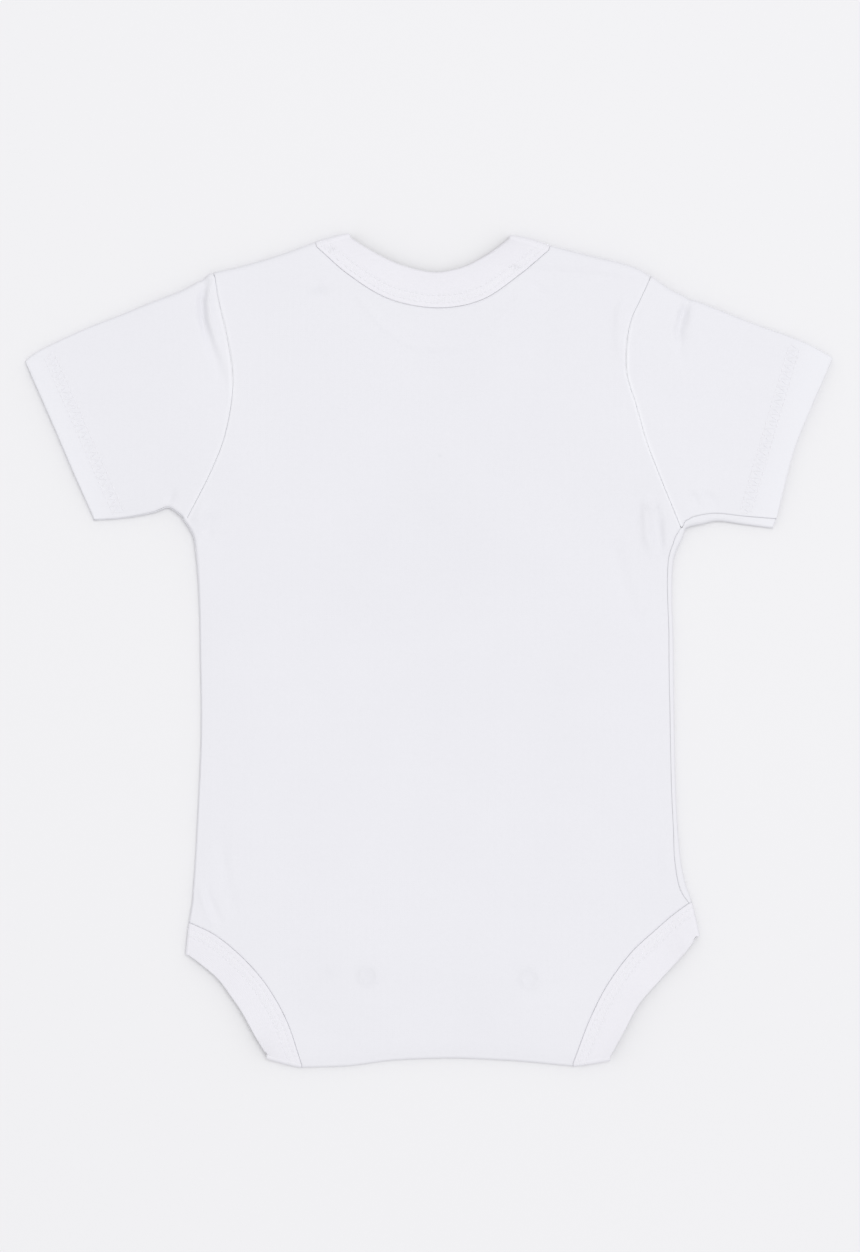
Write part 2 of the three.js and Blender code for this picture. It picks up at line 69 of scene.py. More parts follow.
# Grid fineness
SHOULDER_COLUMNS = 48
NECK_COLUMNS = 228
STRAP_ROWS = 40
LEG_COLUMNS = 70
CROTCH_COLUMNS = 104
ARMHOLE_ROWS = 108
SIDE_ROWS = 168
TURN_STEPS = 10
WING_ROWS = 24
FLAP_ROWS = 30
SLEEVE_STEPS = 90
BAND_COLUMNS = 30
WING_COLUMNS = 40
ROLL_COLUMNS = 2
CURVE_SAMPLES = 800
ARMHOLE_SEARCH = 2000
KEY_SCALE = 500
KEY_SHIFT = 0.37

# Loft: how far a layer rises between its edges, quickly at first and then slowly
EDGE_LOFT = 0.55
EDGE_WIDTH = 2.6
EDGE_DROP = 0.65
CUFF_DROP = 0.3
CROTCH_DROP = 1.1
CROTCH_WIDTH = 3.4
BODY_LOFT = 0.6
SLEEVE_LOFT = 0.5
LOFT_LEFT = -109.0
LOFT_RIGHT = 116.0
LOFT_WIDTH = 30.0
SLEEVE_LOFT_WIDTH = 30.0

# The lower layer rolls up round the side and underarm edges, to a seam at the edge or on the top
ROLL_INSET = 1.1
ROLL_TAPER = 0.06
ROLL_WIDTH = 0.75
EDGE_SEAM = 0.3
EDGE_GAP = 0.025

# Coverstitching: two rows of small thread stitches in each binding and sleeve hem
STITCH_ROWS = (2.4, 5.9)
HEM_ROWS = (0.2, 5.4)
GROOVE_WIDTH = 0.55
GROOVE_DEPTH = 0.14
STITCH_PITCH = 2.6
STITCH_LENGTH = 2.2
STITCH_SIDES = 6
STITCH_FLATNESS = 0.75
THREAD_RADIUS = 0.28
LOOPER_RADIUS = 0.22
LOOPER_STEP = 1.7
STITCH_PROFILE = ((0.4, -0.14), (0.95, 0.0), (1.0, 0.08), (0.95, 0.0), (0.4, -0.14))
HEM_MARGIN = 0.02
HEM_STEPS = 60

Point = namedtuple("Point", "x y")
Station = namedtuple("Station", "seam_x seam_y edge_x edge_y")
Crease = namedtuple("Crease", "x y width depth")
Tone = namedtuple("Tone", "x y wide high strength")
Wave = namedtuple("Wave", "across along start")
Depth = namedtuple("Depth", "y depth")
Knit = namedtuple("Knit", "wale course slant depth")
Layer = namedtuple("Layer", "plan high low turn facing")


def maker_of(kind):
    return lambda *rows: [kind(*row) for row in rows]


points, stations, creases = maker_of(Point), maker_of(Station), maker_of(Crease)
depths, tones, waves = maker_of(Depth), maker_of(Tone), maker_of(Wave)

ARMHOLE = {
    "left": points(
        (-99.9, 174.5), (-98.2, 164), (-94.4, 147.3), (-91.9, 131.8), (-91.9, 119.1), (-95.6, 99.6),
        (-102.2, 83), (-113, 62),
    ),
    "right": points(
        (103.2, 173.1), (99, 164), (95.2, 155.8), (92.8, 144.7), (92.8, 129.3), (96.7, 116.3),
        (101.8, 98.5), (107.7, 83), (118.2, 57.5),
    ),
}
SIDE = {
    "left": points(
        (-113, 62), (-109.7, 56), (-108.1, 44), (-107, 0), (-106.6, -40), (-108.6, -85), (-111, -128),
    ),
    "right": points(
        (118.2, 57.5), (117.2, 52), (114.4, 43), (114.8, 0), (115.4, -47), (116.4, -77), (118.4, -100),
        (122.2, -118.5),
    ),
}
SHOULDER = {
    "left": points((-99.9, 174.5), (-87.7, 177.3), (-77.4, 180.2), (-64.2, 184.4), (-52.3, 188.9)),
    "right": points((103.2, 173.1), (96.2, 176.9), (86.8, 179.7), (75, 182.5), (56.2, 187.3)),
}
SHOULDER_FACING = {"left": (-0.289, 0.957), "right": (0.288, 0.957)}
LEG_FACING = {"left": (-0.996, 0.093), "right": (0.978, 0.209)}
CROTCH = points((-59.5, -194), (-37, -193.2), (-18, -190.7), (9, -189.6), (38, -190.7), (67.8, -193.4))
CROTCH_FACING = (0, -1)

BACK_NECK = stations(
    (-52.3, 188.9, -36.3, 193.7), (-36.9, 175.5, -26.5, 187.4), (-18.1, 164.5, -12, 180.6),
    (5.4, 160.5, 4, 177.4), (25, 164.2, 17.5, 180.3), (42, 175.4, 29, 186.5),
    (56.2, 187.3, 37.5, 192.9),
)
BACK_WING = {
    "left": stations(
        (-52.3, 188.9, -36.3, 193.7), (-60, 167, -44.5, 161), (-73, 148, -60.5, 137.3),
        (-91.5, 133, -91.8, 112.5),
    ),
    "right": stations(
        (56.2, 187.3, 37.5, 192.9), (63, 167, 47, 161), (75.5, 148, 63, 137.3), (92.4, 133, 96.2, 114),
    ),
}
FRONT_NECK = stations(
    (-60, 185.9, -44, 191.6), (-50, 161, -32.5, 165), (-36, 140, -21, 151), (-15, 127.5, -9.5, 143.5),
    (5, 124.5, 5, 141), (25, 127.5, 19.5, 143.5), (46, 141, 31, 152), (58, 161, 42, 166),
    (64.5, 185, 46, 190.2),
)
FRONT_WING = {
    "left": stations(
        (-60, 185.9, -44, 191.6), (-66, 168, -51.3, 161), (-77, 152, -65.3, 140.4),
        (-92.4, 140, -91.3, 120.5),
    ),
    "right": stations(
        (64.5, 185, 46, 190.2), (69.5, 168, 54, 161), (79, 152, 67, 140.4), (92, 140, 94, 121),
    ),
}
BACK_LEG = {
    "left": stations(
        (-111, -128, -112.4, -143), (-101, -132.8, -106.5, -147.4), (-90.5, -140.8, -99, -153.8),
        (-81.1, -150.2, -93.3, -161.2), (-74, -159.6, -87.9, -169), (-66, -174.5, -81, -181.3),
        (-59.5, -194, -76, -189.4),
    ),
    "right": stations(
        (122.2, -118.5, 125.6, -134.4), (115.9, -122.9, 121, -141), (106.5, -130.9, 116.2, -146.4),
        (95.6, -140.8, 108.4, -154.7), (88.1, -150.2, 101.3, -162.5), (82, -159.6, 97, -168.4),
        (75, -174, 91.6, -178.7), (67.8, -193.4, 85.2, -190.2),
    ),
}
FRONT_LEG = {
    "left": stations(
        (-111, -128, -112.4, -143), (-95, -129, -98, -144.8), (-77, -132.5, -81.5, -148),
        (-60, -138.5, -68, -152.5), (-46, -148, -58.5, -157.5), (-37, -161, -54, -161),
    ),
    "right": stations(
        (122.2, -118.5, 125.6, -134.4), (106, -122, 110.5, -138), (90, -127, 96, -142.3),
        (76, -134, 84.5, -148.5), (64.5, -144, 76.5, -155), (56, -161, 73, -161),
    ),
}
FLAP_SIDE = {
    "left": stations(
        (-59.5, -194, -76, -189.4), (-52, -175, -68.5, -172), (-45.5, -158, -61.8, -156),
        (-41, -142, -57, -142),
    ),
    "right": stations(
        (67.8, -193.4, 85.2, -190.2), (62.5, -175, 79, -172.5), (58.5, -158, 74.8, -156.5),
        (56, -142, 72, -142),
    ),
}
SLEEVE_TOP = {
    "left": points(
        (-100.3, 174.5), (-113.9, 166.6), (-129.9, 160.7), (-144.2, 155.4), (-158.4, 150.4),
        (-182, 139.4), (-188.8, 134.8),
    ),
    "right": points(
        (103.6, 173.1), (112.6, 166.7), (121.8, 162.6), (134.2, 158.1), (150.4, 152.3), (174, 144.1),
        (189.2, 136.2),
    ),
}
SLEEVE_FACING = {"left": (-0.419, 0.908), "right": (0.407, 0.913)}
CUFF = {
    "left": points((-188.8, 134.8), (-175.1, 103.6), (-167.1, 84.8), (-157.2, 61.3)),
    "right": points((189.2, 136.2), (179.1, 113), (171.6, 94.2), (161.9, 57.6)),
}
UNDERARM = {
    "left": points(
        (-113.4, 62), (-117, 65.2), (-122, 67.9), (-129, 65.5), (-142, 62.6), (-157.2, 61.3),
    ),
    "right": points(
        (118.6, 57.5), (122.5, 59.4), (128.5, 60.5), (135, 61.6), (148, 59.6), (161.9, 57.6),
    ),
}
ROLLED_SIDE = {
    "right": points(
        (118.2, 57.5), (115, 51.5), (113.4, 34.5), (112.8, 14.3), (113, -18.6), (114, -46.8),
        (114.9, -70.3), (114.9, -84.8), (115.6, -99.9), (118.2, -112.5), (122.2, -118.5),
    ),
}
SIDE_FACING = {"left": (-1, 0), "right": (1, 0)}
ROLLED_UNDERARM = {
    "right": points((118.6, 57.5), (122.3, 61.8), (127.5, 63.5), (135, 64.3), (148, 63), (163.3, 61.8)),
}
UNDERARM_FACING = (0, -1)
HEM = {
    "left": points((-176.2, 141.9), (-141.9, 63.6)),
    "right": points((169.7, 145.6), (145, 62.6)),
}
ARMHOLE_SEAM_DEPTH = {
    "left": depths((176, 0.8), (168, 0.35), (158, 0), (124, 0), (115, 0.55), (60, 0.5)),
    "right": depths((174, 0.7), (154, 0.45), (145, 0), (96, 0), (84, 0.25), (56, 0.4)),
}
SNAPS = {"left": Point(-28.4, -151.6), "right": Point(47.2, -153)}

# Where layers lap over each other, as convex areas, and how heights change round them
LAPPED_SHOULDER = {
    "left": points((-103, 180), (-92, 110), (-60, 135), (-44, 158), (-35, 198)),
    "right": points((36, 198), (46, 158), (62, 135), (98, 110), (106, 179)),
}
FLAP_AREA = points((-80, -205), (88, -205), (78, -139), (-63, -139))
OPEN_NECK = points((-8, 156), (18, 156), (12, 190), (-2, 190))
CORNER_SOFTNESS = 5.0
SHOULDER_MARGIN = 10.0
SHOULDER_SLOPE = 60.0
FRONT_SLOPE = 25.0
FLAP_MARGIN = 3.0
FLAP_SLOPE = 28.0
LEG_RISE_START = -100.0
LEG_RISE_LENGTH = 17.0
NECK_DROP = 1.4
NECK_SLOPE = 24.0
NECK_DROOP = 0.45
NECK_DROOP_WIDTH = 5.0
TAB_STEP_START = -181.0
TAB_STEP_END = -167.0
SNAP_MARGIN = 11.0
SNAP_SLOPE = 11.0
SNAP_BACK_MARGIN = 5.0
SNAP_BACK_SLOPE = 34.0
SNAP_RADIUS = 5.0
RING_PRINT_HEIGHT = 0.65
RING_PRINT_WIDTH = 0.95
LEAST_CLEARANCE = 0.6
SOFTNESS = 0.2
HEM_RISE = 0.12
HEM_STEP = 7.0
NECK_PRINT_HEIGHT = 0.4
NECK_PRINT_WIDTH = 1.5

# Creases in the upper layer: a trough has a depth below zero and a ridge one above it
CREASES = {
    "left_sleeve_head": creases(
        (-104.3, 173.5, 1.5, -0.9), (-106.3, 163.5, 1.7, -2.2), (-105.8, 155, 1.8, -2.2),
        (-102.4, 144.5, 2.2, -1.2), (-98.6, 134, 2.7, -0.7), (-94.6, 118, 3.6, 0),
    ),
    "left_sleeve_head_ridge": creases(
        (-101.4, 173, 1.5, 0.7), (-102.8, 163, 1.6, 1.7), (-102, 154, 1.7, 1.7), (-98.8, 143.5, 2, 0.8),
        (-95, 134, 2.3, 0.4), (-92.4, 122, 2.8, 0),
    ),
    "right_sleeve_dent": creases(
        (122, 165, 1.9, -0.7), (119.4, 158, 2.1, -2.6), (117.2, 150, 2.1, -2), (117.4, 141, 2.3, -0.6),
        (121, 130, 3, 0),
    ),
    "right_sleeve_dent_side": creases((127, 162, 2.8, 0), (124, 153, 3, 0.8), (124, 138, 4, 0)),
    "right_shoulder_ridge": creases(
        (93, 168, 2.2, 0), (89.5, 158, 2.2, 1.2), (88.8, 146, 2.4, 0.8), (90.5, 134, 3, 0),
    ),
    "right_armpit_ridge": creases(
        (103.5, 74, 2, 0), (101.8, 65, 1.9, 1.6), (102.3, 54, 2, 1.5), (106, 42, 3, 0),
    ),
    "right_armpit_trough": creases(
        (107, 72, 1.6, 0), (106.6, 64, 1.8, -1), (107.8, 54, 2, -0.9), (109.8, 43, 2.4, 0),
    ),
    "right_armpit_second": creases(
        (112, 66, 1.5, 0), (111.2, 59, 1.6, 1.2), (111.6, 51, 1.7, 0.9), (111.5, 42, 2.2, 0),
    ),
    "right_side_long": creases(
        (84, 58, 3.6, 0), (88.5, 43, 3.2, -0.6), (94, 24, 3.4, -0.6), (101, 0, 4.2, 0),
    ),
    "left_armpit_dent": creases((-99, 68, 2.4, 0), (-103, 59, 2.4, -0.9), (-104.6, 48, 2.8, 0)),
    "left_armpit_ridge": creases((-104, 72, 2.2, 0), (-108.2, 62, 1.9, 1.1), (-107.5, 52, 2.2, 0)),
    "left_hip_short": creases(
        (-104.5, -108, 2, 0), (-102.6, -117, 1.9, -0.8), (-99, -125, 2.2, -0.5), (-96, -131, 2.6, 0),
    ),
    "left_hip_ridge": creases(
        (-107.5, -106, 2, 0), (-105.4, -117, 1.8, 0.7), (-102, -126, 2.1, 0.4), (-99, -132, 2.6, 0),
    ),
    "left_hip_long": creases(
        (-98, -84, 3, 0), (-96.2, -98, 2.6, -0.6), (-93, -116, 2.8, -0.5), (-90.5, -131, 3.4, 0),
    ),
    "right_hip": creases((111, -84, 3.2, 0), (111.5, -98, 2.8, 0.5), (114.5, -112, 2.8, 0)),
    "under_left_sleeve": creases((-118.5, 78, 2, 0), (-120.5, 72, 1.9, -1), (-124, 67.5, 2.2, 0)),
    "under_right_sleeve": creases((122, 76, 2, 0), (124.5, 71, 2, -1), (127.5, 65.5, 2.2, 0)),
    "under_right_sleeve_second": creases((129, 76, 2.2, 0), (132, 71, 2, -0.8), (137, 67, 2.4, 0)),
    "neck_right_pucker": creases((46.5, 174, 2.4, 0), (51, 169.5, 2.4, -0.5), (60, 163.5, 3.2, 0)),
    "neck_left_pucker": creases((-57, 178, 2.6, 0), (-51.5, 171, 2.4, -0.35), (-47, 163, 2.8, 0)),
    "seat_diagonal": creases((40, -168, 4.5, 0), (60, -157.5, 4, -0.45), (84, -145, 4.8, 0)),
    "mid_back_soft": creases((-62, 30, 14, 0), (-20, 8, 13, -0.4), (38, -8, 14, 0)),
}

# The lower layer rests on the surface, so its creases only lift off it
LOWER_CREASES = {
    "belly_long": creases((-60, 60, 5, 0), (-42, 40, 4.2, 0.5), (-20, 12, 4.2, 0.45), (5, -18, 5.5, 0)),
    "belly_second": creases((70, 20, 4, 0), (58, -5, 3.8, 0.45), (50, -40, 4.2, 0.4), (52, -66, 5, 0)),
    "left_armpit_front": creases(
        (-101, 52, 2.4, 0), (-97, 63, 2.2, 0.5), (-90, 78, 2.5, 0.45), (-80, 96, 3.2, 0),
    ),
    "right_armpit_front": creases(
        (107, 46, 2.4, 0), (102, 58, 2.2, 0.5), (95, 74, 2.5, 0.4), (84, 92, 3.2, 0),
    ),
    "left_hip_front": creases((-102, -95, 2.4, 0), (-95, -105, 2.2, 0.5), (-85, -112, 3, 0)),
    "right_hip_front": creases((109, -86, 2.6, 0), (101, -97, 2.3, 0.5), (90, -105, 3, 0)),
    "left_sleeve_front": creases((-150, 128, 3, 0), (-136, 118, 2.6, 0.4), (-122, 104, 3.2, 0)),
    "right_sleeve_front": creases((152, 124, 3, 0), (140, 112, 2.6, 0.4), (128, 100, 3.2, 0)),
}

# Waves per millimetre in each direction
WANDER = waves((0.021, 0.013, 0.4), (-0.011, 0.027, 2.1), (0.034, -0.019, 4), (0.006, 0.041, 1.2))

# Faint soft grey marks on the back, as sizes of soft ovals
TONES = tones(
    (-51, 168.5, 4.5, 2.2, 0.10), (-46, -151, 5, 3, 0.05), (-28.4, -151.6, 5.5, 5.5, 0.09),
    (47.2, -153, 5.5, 5.5, 0.07), (5.4, 91.4, 0.9, 0.9, 0.16), (6, 50, 42, 46, 0.03),
)

# Knit: millimetres for each column and each row, the slant of a stitch's legs, and its depth in metres,
# and then the painted shade in the hollows between stitches, the unevenness of the cloth's tone and its
# fuzz
JERSEY_KNIT = Knit(1.1, 0.9, 1.0, 0.00008)
RIB_KNIT = Knit(1.4, 0.8, 0.4, 0.00012)
ROW_SHARE = 0.3
HOLLOW_SHADE = 0.1
KNIT_STRENGTH = 0.7
CLOUD_SCALE = 22.0
CLOUD_DETAIL = 3.0
CLOUD_SHARE = 0.7
FIBRE_SCALE = 900.0
FUZZ_DEPTH = 0.00004
FUZZ_STRENGTH = 0.5

# Colours, and how far past its stitching a hem turns fully pale, in metres
JERSEY_LIGHT = (0.740, 0.738, 0.776, 1)
JERSEY_SHADE = (0.712, 0.710, 0.748, 1)
BINDING_LIGHT = (0.760, 0.753, 0.796, 1)
BINDING_SHADE = (0.730, 0.722, 0.764, 1)
# Painted highlight along the closed armhole seams
SEAM_HIGHLIGHT_COLOUR = (0.79, 0.79, 0.828, 1)
HEM_COLOUR = (0.755, 0.757, 0.796, 1)
HEM_PALENESS = 0.6
HEM_FADE = 0.014
TONE_COLOUR = (0.50, 0.51, 0.55, 1)
THREAD_LIGHT = (0.80, 0.795, 0.825, 1)
THREAD_SHADE = (0.73, 0.73, 0.765, 1)
METAL_LIGHT = (0.72, 0.72, 0.74, 1)
METAL_SHADE = (0.60, 0.60, 0.62, 1)
FLOOR_LIGHT = (0.754, 0.752, 0.768, 1)
FLOOR_SHADE = (0.746, 0.744, 0.761, 1)

# Finishes, as inputs of the surface shader, and the grain of thread, metal and floor, with depths
# in metres
CLOTH_FINISH = {
    "Roughness": 0.92, "Specular IOR Level": 0.2, "Sheen Weight": 0.12, "Sheen Roughness": 0.5,
}
THREAD_FINISH = {"Roughness": 0.6, "Sheen Weight": 0.15}
FLOOR_FINISH = {"Roughness": 0.95, "Specular IOR Level": 0.1}
METALLIC = 0.95
TWIST_SCALE = 900.0
TWIST_DEPTH = 0.00005
TWIST_STRENGTH = 0.6
TARNISH_SCALE = 400.0
TARNISH_DETAIL = 4.0
METAL_ROUGHNESS = 0.22
TARNISH_ROUGHNESS = 0.2
SCRATCH_SCALE = 2500.0
SCRATCH_DEPTH = 0.00002
SCRATCH_STRENGTH = 0.4
FLOOR_SCALE = 3.0

# The surface below, in millimetres, and the light and the camera, in metres and watts
FLOOR_REACH = 3000
FLOOR_DROP = 0.1
ROOM_LIGHT = 0.815
WINDOW_SIZE = 2.6
WINDOW_POWER = 91
WINDOW_PLACE = (0.75, 0.6, 4.6)
FOCAL_LENGTH = 85
SENSOR_WIDTH = 36
CAMERA_PLACE = (0.00051, 0.01125, 1.389)

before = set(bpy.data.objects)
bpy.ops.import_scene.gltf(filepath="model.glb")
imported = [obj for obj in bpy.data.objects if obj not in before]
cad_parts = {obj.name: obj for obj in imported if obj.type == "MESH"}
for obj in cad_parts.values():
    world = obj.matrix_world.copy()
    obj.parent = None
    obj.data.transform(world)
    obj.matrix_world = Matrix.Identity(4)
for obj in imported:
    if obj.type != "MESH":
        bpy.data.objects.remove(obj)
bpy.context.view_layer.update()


# How high the cloth lies



def smooth(share):
    s = np.clip(share, 0.0, 1.0)
    return s * s * (3.0 - 2.0 * s)


def fade(distance, margin, slope):
    """One within the margin of an outline, falling to nothing across the slope."""
    return 1.0 - smooth((distance - margin) / slope)


def mix(a, b, share):
    return a + (b - a) * share


def layer(number):
    return WALL / 2 + number * LAYER_STEP


def outside(corners, x, y):
    """How far places lie outside a convex outline whose corners run anticlockwise, with the ridges
    that its corners would give softened."""
    far = []
    for a, b in zip(corners, corners[1:] + corners[:1]):
        cross = (x - a.x) * (b.y - a.y) - (y - a.y) * (b.x - a.x)
        far.append(cross / math.hypot(b.x - a.x, b.y - a.y))
    return CORNER_SOFTNESS * np.log(np.sum(np.exp(np.array(far) / CORNER_SOFTNESS), axis=0))


def shoulder_share(x, y, slope):
    left, right = (
        fade(outside(area, x, y), SHOULDER_MARGIN, slope) for area in LAPPED_SHOULDER.values()
    )
    return 1 - (1 - left) * (1 - right)


def snap_distance(x, y):
    return np.min([np.hypot(x - snap.x, y - snap.y) for snap in SNAPS.values()], axis=0)


def snap_share(x, y):
    return fade(snap_distance(x, y), SNAP_MARGIN, SNAP_SLOPE)


def beside(a, b, x, y):
    """How far along a straight line from a to b each place is, from 0 to 1, and how far away."""
    dx, dy = b[0] - a[0], b[1] - a[1]
    along = np.clip(((x - a[0]) * dx + (y - a[1]) * dy) / (dx * dx + dy * dy), 0.0, 1.0)
    return along, np.hypot(x - a[0] - along * dx, y - a[1] - along * dy)


def crease_height(table, x, y):
    """The sum of some creases: each is a soft trough or ridge along its own bent line."""
    total = np.zeros_like(x)
    for rows in table.values():
        nearest = np.full_like(x, np.inf)
        height = np.zeros_like(x)
        for a, b in zip(rows, rows[1:]):
            along, away = beside(a, b, x, y)
            width = mix(a.width, b.width, along)
            here = mix(a.depth, b.depth, smooth(along)) * np.exp(-((away / width) ** 2))
            height = np.where(away < nearest, here, height)
            nearest = np.minimum(away, nearest)
        total += height
    return total


def line_distance(places, x, y):
    """How far points are from a bent line of places."""
    nearest = np.full(np.shape(x), np.inf)
    for a, b in zip(places[:-1], places[1:]):
        nearest = np.minimum(nearest, beside(a, b, x, y)[1])
    return nearest


def near_line(places, x, y, width):
    """One on a bent line, fading away from it."""
    return np.exp(-line_distance(places, x, y) / width)


def seams_of(rows):
    return [(row.seam_x, row.seam_y) for row in rows]


def edges_of(rows):
    return [(row.edge_x, row.edge_y) for row in rows]


BINDINGS = (
    BACK_NECK, FRONT_NECK, *BACK_WING.values(), *FRONT_WING.values(), *BACK_LEG.values(),
    *FRONT_LEG.values(), *FLAP_SIDE.values(),
)
FREE_EDGES = [*map(edges_of, BINDINGS), *CUFF.values()]


def neck_print(x, y):
    """The edge of the front's neck binding shows through as a faint arc."""
    away = line_distance(edges_of(FRONT_NECK[1:-1]), x, y) / NECK_PRINT_WIDTH
    return NECK_PRINT_HEIGHT * np.exp(-(away ** 2))


def armhole_depth(side, y):
    """How deep the armhole seam shows at a height: from 0, closed and soft, to 1."""
    rows = sorted(ARMHOLE_SEAM_DEPTH[side])
    return np.interp(y, [row.y for row in rows], [row.depth for row in rows])


def closed_seam(side, x, y):
    """One on an armhole where its seam is closed, and nothing away from it."""
    away = line_distance(ARMHOLE[side], x, y) / SEAM_RIDGE_WIDTH
    return (1 - armhole_depth(side, y)) * np.exp(-(away ** 2))


def unevenness(x, y):
    """A soft wandering value from 0 to 1."""
    total = sum(
        np.sin(2 * math.pi * (x * wave.across + y * wave.along) + wave.start) for wave in WANDER
    )
    return 0.5 + 0.5 * total / len(WANDER)


def ring_print(x, y):
    """The snap rings press through as low round ridges."""
    away = snap_distance(x, y) - (SNAP_RADIUS - RING_PRINT_WIDTH)
    return RING_PRINT_HEIGHT * np.exp(-((away / RING_PRINT_WIDTH) ** 2))


def edge_loft(distance):
    """How far a layer has risen at a distance from its seam, quickly at first."""
    return EDGE_LOFT * (1 - np.exp(-distance / EDGE_WIDTH))


def back_height(plan):
    """The height of the back's middle: over the front, the flap and the lapped shoulders."""
    x, y = plan[..., 0], plan[..., 1]
    from_side = np.min([line_distance(rows, x, y) for rows in SIDE.values()], axis=0)
    loft = BODY_LOFT * smooth(np.minimum(x - LOFT_LEFT, LOFT_RIGHT - x) / LOFT_WIDTH)
    leg_rise = (BAND_WALL - WALL) * smooth((LEG_RISE_START - y) / LEG_RISE_LENGTH)
    neck_drop = NECK_DROP * fade(outside(OPEN_NECK, x, y), 0.0, NECK_SLOPE)
    body = SIDE_SEAM_HEIGHT + edge_loft(from_side) + loft + leg_rise - neck_drop
    over_snaps = 1 - np.prod([
        1 - fade(np.hypot(x - snap.x, y - snap.y), SNAP_BACK_MARGIN, SNAP_BACK_SLOPE)
        for snap in SNAPS.values()
    ], axis=0)
    over_flap = layer(2) + RING_RISE * over_snaps
    whole = mix(body, over_flap, fade(outside(FLAP_AREA, x, y), FLAP_MARGIN, FLAP_SLOPE))
    whole = mix(whole, layer(3), shoulder_share(x, y, SHOULDER_SLOPE))
    shoulders = np.vstack([SHOULDER["left"], SHOULDER["right"]])
    whole = whole - EDGE_DROP * near_line(shoulders, x, y, EDGE_WIDTH)
    whole = whole - CROTCH_DROP * near_line(CROTCH, x, y, CROTCH_WIDTH)
    free_neck = near_line(edges_of(BACK_NECK), x, y, NECK_DROOP_WIDTH)
    whole = mix(whole, layer(0), NECK_DROOP * free_neck)
    marks = crease_height(CREASES, x, y) + ring_print(x, y) + neck_print(x, y)
    marks = marks + SOFTNESS * unevenness(x, y)
    marks = marks + SEAM_RIDGE * sum(closed_seam(side, x, y) for side in SIDES)
    return whole + np.maximum(marks, -LEAST_CLEARANCE)


def hem_share(plan, side):
    """Nothing above the hem stitching of a sleeve, one between it and the cuff."""
    a, b = HEM[side]
    across = (plan[..., 0] - a.x) * (a.y - b.y) - (plan[..., 1] - a.y) * (a.x - b.x)
    return smooth(TOWARD_CUFF[side] * across / math.hypot(a.x - b.x, a.y - b.y) / HEM_STEP)


def sleeve_height(side):
    """The height of a sleeve's upper layer, as a function of the place."""

    def height(plan):
        x, y = plan[..., 0], plan[..., 1]
        from_seam = line_distance(UNDERARM[side], x, y)
        loft = edge_loft(from_seam) + SLEEVE_LOFT * smooth(from_seam / SLEEVE_LOFT_WIDTH)
        free = SIDE_SEAM_HEIGHT + loft + HEM_RISE * hem_share(plan, side)
        whole = mix(free, layer(3), shoulder_share(x, y, SHOULDER_SLOPE))
        whole = whole - EDGE_DROP * near_line(SLEEVE_TOP[side], x, y, EDGE_WIDTH)
        at_cuff = near_line(CUFF[side], x, y, EDGE_WIDTH) * smooth(from_seam / EDGE_WIDTH)
        whole = whole - CUFF_DROP * at_cuff
        marks = crease_height(CREASES, x, y) + SOFTNESS * unevenness(x, y)
        marks = marks + SEAM_RIDGE * closed_seam(side, x, y)
        lowest = layer(0) + CLOTH + LEAST_CLEARANCE / 2
        return np.maximum(whole + marks, np.minimum(whole, lowest))

    return height


def sleeve_floor(side):
    def height(plan):
        lifted = crease_height(LOWER_CREASES, plan[..., 0], plan[..., 1])
        return layer(0) + HEM_EXTRA / 2 * hem_share(plan, side) + lifted

    return height


def floor_height(plan):
    return np.full(plan.shape[:-1], layer(0))


def front_height(plan):
    x, y = plan[..., 0], plan[..., 1]
    lapped = LAYER_STEP * shoulder_share(x, y, FRONT_SLOPE) + CAP_RISE * snap_share(x, y)
    return layer(0) + lapped + crease_height(LOWER_CREASES, x, y)


def front_wing_height(plan):
    return front_height(plan) + LAYER_STEP


def flap_height(plan):
    x, y = plan[..., 0], plan[..., 1]
    step = smooth((y - TAB_STEP_START) / (TAB_STEP_END - TAB_STEP_START))
    return layer(0) + LAYER_STEP * step + CAP_RISE * snap_share(x, y)


# Lines, grids of places and layers of cloth



def curve_at(rows, shares):
    """Places on the smooth curve through the rows, centripetal so that it never overshoots."""
    knots = np.asarray(rows, float)
    padded = np.vstack([2 * knots[0] - knots[1], knots, 2 * knots[-1] - knots[-2]])
    spacing = np.sqrt(np.linalg.norm(np.diff(padded, axis=0), axis=1))
    place = np.clip(np.asarray(shares, float), 0.0, 1.0) * (len(knots) - 1)
    span = np.minimum(place.astype(int), len(knots) - 2)
    t = (place - span)[:, None]
    p0, p1, p2, p3 = (padded[span + k] for k in range(4))
    d0, d1, d2 = (spacing[span + k][:, None] for k in range(3))
    m1 = d1 * ((p1 - p0) / d0 - (p2 - p0) / (d0 + d1)) + (p2 - p1)
    m2 = (p2 - p1) + d1 * ((p3 - p2) / d2 - (p3 - p1) / (d1 + d2))
    rise, fall = t * t * (3 - 2 * t), 1 - t * t * (3 - 2 * t)
    return fall * p1 + rise * p2 + t * (1 - t) ** 2 * m1 - t * t * (1 - t) * m2


def evenly(rows, count):
    """count + 1 places on the curve through the rows, the same length apart."""
    shares = np.linspace(0.0, 1.0, CURVE_SAMPLES)
    steps = np.linalg.norm(np.diff(curve_at(rows, shares), axis=0), axis=1)
    run = np.concatenate([[0.0], np.cumsum(steps)])
    return curve_at(rows, np.interp(np.linspace(0.0, run[-1], count + 1), run, shares))


def seam_line(rows, count):
    return curve_at(seams_of(rows), np.linspace(0.0, 1.0, count + 1))


def edge_line(rows, count):
    return curve_at(edges_of(rows), np.linspace(0.0, 1.0, count + 1))


def straight(start, end, count):
    return np.linspace(start, end, count + 1)


def joined(*lines):
    return np.vstack([lines[0], *(line[1:] for line in lines[1:])])


